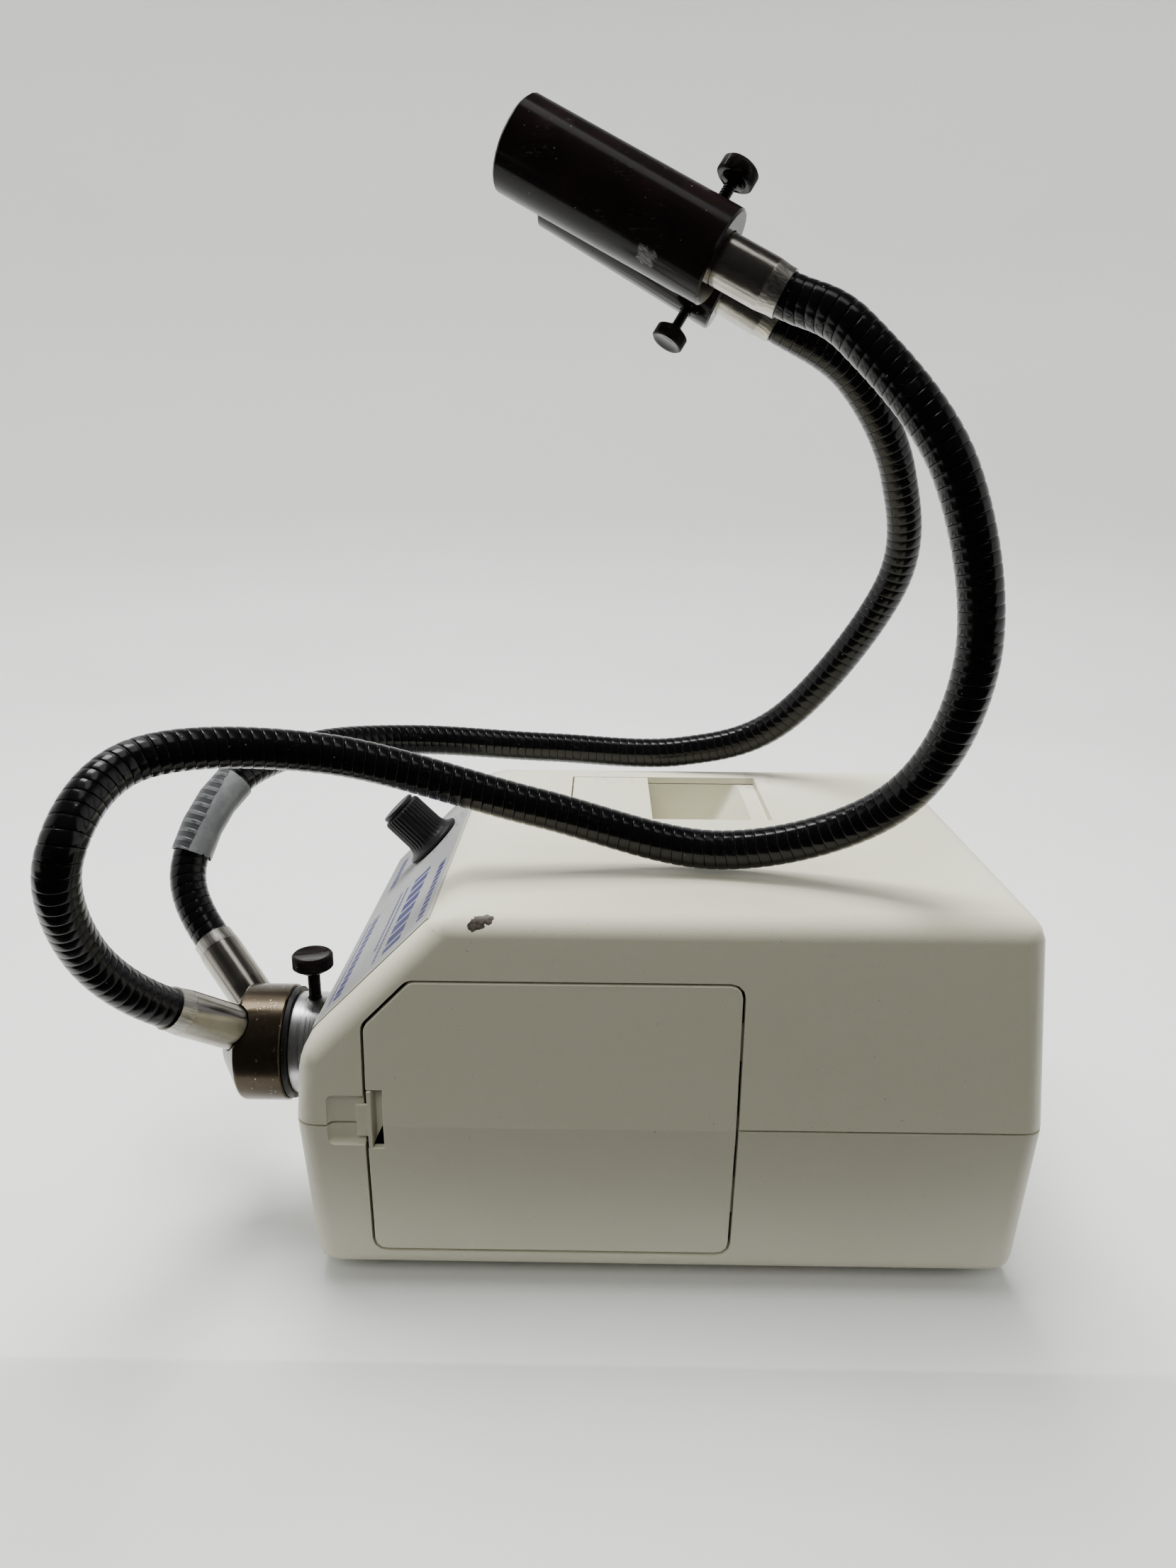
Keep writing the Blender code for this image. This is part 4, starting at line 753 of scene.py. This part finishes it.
def make_gooseneck(side):
    """Six lengths of wound conduit: four ride on bodies and two lie across the joints between them, baked in place
    on no body.

    The last joint mostly twists, so the conduit is split there over a ball that keeps the split closed."""
    points = [Vector(point) + HOUSING_ORIGIN for point in ROUTES[side]["points"]]
    rise = points[0] - (Vector(ROUTES[side]["foot"]) + HOUSING_ORIGIN)
    focus = Vector(JOINTS[f"{side}_focus"]["axis"])
    fine, marks = smooth_points(points, rise, focus)
    start, stop = fine[0] - rise.normalized() * TUCK, fine[-1] + focus * TUCK
    route = Route([start, *fine, stop])
    bodies = {"light_guide": "light_guide", **{part: f"{side}_{part}" for part in ("span", "loop", "tip")}}
    node_of = {"light_guide": "base", "span": "span", "loop": "loop"}

    def column(length):
        return round(length / CONDUIT_PITCH * CONDUIT_COLUMNS)

    def stretch(name, low, high):
        vertices, faces = wound(route, CONDUIT_PITCH, CONDUIT_COLUMNS, CONDUIT_PROFILE, CONDUIT_RADIUS,
                                column(low), column(high))
        return piece(f"{side}_conduit_{name}", vertices, faces, "conduit_black", CONDUIT_CREASE)

    reached = 0.0
    for mark, (before, after) in ROUTE_JOINTS.items():
        joint_at = route.lengths[marks[mark] + 1]
        if after == SPLIT_BODY:
            split_at = joint_at
            break
        rigid = stretch(node_of[before], reached, joint_at - BEND_PIECE)
        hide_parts(f"{side}_arm_{node_of[before]}")
        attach(rigid, bodies[before])
        bend = stretch(f"{node_of[after]}_bend", joint_at - BEND_PIECE, joint_at + BEND_PIECE)
        route.at(joint_at - BEND_REACH)[0]
        route.at(joint_at + BEND_REACH)[0]
        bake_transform(bend)
        reached = joint_at + BEND_PIECE
    for name, low, high in (("loop", reached, split_at), (SPLIT_BODY, split_at, route.length)):
        rigid = stretch(name, low, high)
        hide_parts(f"{side}_arm_{name}")
        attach(rigid, bodies[name])
    inside = ball(route.at(split_at)[0], CONDUIT_RADIUS - BALL_INSET)
    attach(piece(f"{side}_conduit_ball", *inside, "conduit_black"), bodies[SPLIT_BODY])


# ---------------------------------------------------------------- knob and thumb screws
def make_thumb_screw(node, joint):
    """Knurled head with a dished top, a collar and a threaded shank."""
    axis = Vector(JOINTS[joint]["axis"])
    origin = Vector(JOINTS[joint]["pos_m"])
    low, high = extent(node, origin, axis)
    radius, shank_radius, height = SCREW_SIZES[node]
    core = shank_radius - THREAD_DEPTH
    collar = radius - 0.0018
    head = high - height
    profile = [(0.0, low), (core, low), (core, head - 0.0012), (collar - 0.0004, head - 0.0010),
               (collar, head - 0.0006), (collar, head), (radius - 0.0006, head), (radius, head + 0.0005),
               (radius, high - 0.0006), (radius - 0.0006, high), (radius - 0.0014, high),
               (radius - 0.0018, high - 0.0002), (0.0, high - 0.0002)]

    def knurl(column, row):
        return -KNURL_DEPTH if row in (7, 8) and column % 4 in (0, 1) else 0.0

    body = lathe(profile, origin, axis, KNURL_TEETH * 4, knurl)
    steps = 40
    reach = head - 0.0010 - low
    shank = Route([origin + axis * (low + reach * step / steps) for step in range(steps + 1)])
    thread = wound(shank, THREAD_PITCH, THREAD_COLUMNS, THREAD_PROFILE, shank_radius)
    screw = piece(node + "_knurled", *joined(body, thread), "black_anodised", crease=40.0)
    return placed(screw, node)


def make_knob():
    """Ribbed knob with a flared skirt, and the dished cap in its top."""
    axis = Vector(JOINTS["knob_turn"]["axis"])
    origin = Vector(JOINTS["knob_turn"]["pos_m"])
    low, high = extent("intensity_knob", origin, axis)
    profile = [(0.0100, low), (0.0112, low), (0.0113, low + 0.0007), (0.0110, low + 0.0011),
               (0.0099, low + 0.0016), (0.0091, low + 0.0022), (0.0086, low + 0.0030),
               (KNOB_RADIUS + 0.0003, low + 0.0040), (KNOB_RADIUS + 0.0001, low + 0.0052),
               (KNOB_RADIUS, high - 0.0012), (KNOB_RADIUS - 0.0003, high - 0.0004),
               (KNOB_RADIUS - 0.0009, high), (0.0066, high), (0.0, high)]

    def rib(column, row):
        if not 6 <= row <= 11:
            return 0.0
        shape = (-1.0, -1.0, -0.35, 0.0, 0.0, -0.35)[column % 6]
        return shape * KNOB_RIB_DEPTH * (0.5 if row == 6 else 1.0)

    knob = piece("intensity_knob_ribbed", *lathe(profile, origin, axis, KNOB_RIBS * 6, rib),
                 "black_plastic", crease=40.0)
    placed(knob, "intensity_knob")
    low, high = extent("knob_cap", origin, axis)
    cap = [(0.0064, low), (0.0068, low + 0.0002), (0.0068, high - 0.0005), (0.0066, high - 0.0002),
           (0.0062, high), (0.0050, high), (0.0046, high - 0.00015), (0.0, high - 0.00015)]
    placed(piece("knob_cap_dished", *lathe(cap, origin, axis), "black_plastic"), "knob_cap")


# ---------------------------------------------------------------- stage
def make_stage():
    """Pale floor that curves up into a wall all round."""
    profile = [(0.0, 0.0), (0.3, 0.0), (FLOOR_FLAT, 0.0)]
    for step in range(1, CURVE_STEPS + 1):
        turn = pi / 2 * step / CURVE_STEPS
        profile.append((FLOOR_FLAT + FLOOR_CURVE * sin(turn), FLOOR_CURVE * (1 - cos(turn))))
    profile.append((FLOOR_FLAT + FLOOR_CURVE, WALL_TOP))
    vertices, faces = lathe(profile, Vector((0, 0, 0)), (0, 0, 1))
    paint = Paint("studio_floor", (0.760, 0.770, 0.770), 0.32)
    paint.tint(paint.ramp(paint.noise(0.150, 3.0), 0.35, 0.7), (0.735, 0.742, 0.742))
    paint.roughen(paint.ramp(paint.noise(0.080, 3.0), 0.3, 0.7), 0.42)
    paint.tint(paint.ramp(paint.along((0, 0, 1)), 0.01, 0.20), (0.590, 0.598, 0.595))
    mesh = bpy.data.meshes.new("studio_floor")
    mesh.from_pydata([tuple(vertex) for vertex in vertices], [], faces)
    mesh.shade_smooth()
    mesh.materials.append(paint.done())
    floor = bpy.data.objects.new("studio_floor", mesh)
    bpy.context.scene.collection.objects.link(floor)


def make_flags():
    """Black cloth behind the camera and on the floor before it, which stands for an unlit room.

    It keeps the near side and the glossy parts dark. No camera sees it and it throws no shadow."""
    half_width, top, low = 1.30, 1.60, 0.001
    rows = [(0.105, low), (0.55, low), (0.62, 0.06), (0.62, top)]
    vertices = [Vector((x, side * half_width, z)) for x, z in rows for side in (-1, 1)]
    faces = [(row, row + 1, row + 3, row + 2) for row in (0, 2, 4)]
    mesh = bpy.data.meshes.new("studio_flag")
    mesh.from_pydata([tuple(vertex) for vertex in vertices], [], faces)
    cloth = Paint("studio_black", (0.010, 0.010, 0.010), 0.95)
    cloth.bump(cloth.noise(0.002), 0.0004)
    mesh.materials.append(cloth.done())
    flag = bpy.data.objects.new("studio_flag", mesh)
    flag.visible_camera = False
    flag.visible_shadow = False
    bpy.context.scene.collection.objects.link(flag)


def make_light(name, place, target, size, power, colour, lights):
    """A rectangular lamp that lights "surfaces", is mirrored in "gloss", or "both"."""
    data = bpy.data.lights.new(name, "AREA")
    data.shape = "RECTANGLE"
    data.size, data.size_y = size
    data.energy = power
    data.color = colour
    lamp = bpy.data.objects.new(name, data)
    lamp.location = place
    lamp.rotation_euler = (Vector(target) - Vector(place)).to_track_quat("-Z", "Y").to_euler()
    lamp.visible_camera = False
    lamp.visible_diffuse = lights != "gloss"
    lamp.visible_glossy = lights != "surfaces"
    bpy.context.scene.collection.objects.link(lamp)


def make_lights():
    """A broad ceiling light, a long dim strip that only gloss shows, a small panel and a front fill."""
    middle = (0.0, 0.0, 0.1)
    ceiling = (-0.32, -0.05, 1.40)
    make_light("ceiling", ceiling, middle, (0.64, 1.00), 48.0, (1.0, 0.995, 0.97), "surfaces")
    make_light("sheen", (-0.32, -0.30, 1.40), middle, (0.40, 2.60), 6.0, (1.0, 1.0, 1.0), "gloss")
    make_light("panel", (-0.22, -0.40, 1.30), middle, (0.24, 0.50), 5.0, (1.0, 1.0, 0.99), "both")
    make_light("front_fill", (0.95, -0.25, 1.10), middle, (0.80, 0.80), 7.0, (1.0, 0.99, 0.94), "surfaces")
    world = bpy.data.worlds.new("studio_world")
    world.use_nodes = True
    background = world.node_tree.nodes["Background"]
    background.inputs["Color"].default_value = (0.95, 0.97, 1.0, 1.0)
    background.inputs["Strength"].default_value = 0.05
    bpy.context.scene.world = world


def make_camera():
    """Camera that looks along -X, turned by its heading and tipped down by its pitch."""
    data = bpy.data.cameras.new("camera")
    data.lens = CAMERA_LENS
    forward = Vector((-cos(CAMERA_HEADING) * cos(CAMERA_PITCH), -sin(CAMERA_HEADING) * cos(CAMERA_PITCH),
                      -sin(CAMERA_PITCH)))
    level = forward.cross(Vector((0, 0, 1))).normalized()
    upright = level.cross(forward)
    right = level * cos(CAMERA_ROLL) + upright * sin(CAMERA_ROLL)
    up = upright * cos(CAMERA_ROLL) - level * sin(CAMERA_ROLL)
    camera = bpy.data.objects.new("camera", data)
    camera.matrix_world = Matrix.LocRotScale(
        CAMERA_PLACE, Matrix((right, up, -forward)).transposed().to_quaternion(), None)
    bpy.context.scene.collection.objects.link(camera)
    bpy.context.scene.camera = camera


# ---------------------------------------------------------------- the object
ROUNDED = {"upper_shell": 0.00035, "lower_shell": 0.00035, "lamp_door": 0.00055, "handle_plate": 0.0,
           "door_latch": 0.00025, "handle_tub": 0.0}
SMOOTH = ("nosepiece", "head_ring", "light_guide_head", "near_lower_ferrule", "far_lower_ferrule",
          "near_upper_ferrule", "far_upper_ferrule", "near_lens_barrel", "far_lens_barrel", "near_lens",
          "far_lens", "tape_marker", "front_left_foot", "front_right_foot", "rear_left_foot",
          "rear_right_foot", "rear_panel", "mains_inlet", "fuse_drawer", "switch_bezel", "power_rocker",
          "fan_frame", "fan_impeller", "front_label", "lamp_reflector", "lamp_socket", "lamp_bracket",
          "heat_sink", "capacitor")


def make_object():
    for node, rounding in ROUNDED.items():
        refined(node, rounding)
    for node in SMOOTH:
        refined(node)
    for side in ROUTES:
        make_gooseneck(side)
        make_thumb_screw(f"{side}_barrel_screw", f"{side}_barrel_screw_turn")
    make_thumb_screw("nosepiece_screw", "nosepiece_screw_turn")
    make_knob()
    for node, made in frame["nodes"].items():
        made.data.materials.clear()
        made.data.materials.append(MATERIALS[SLOT_OF[node]])


make_camera()
make_stage()
make_flags()
make_lights()
make_object()
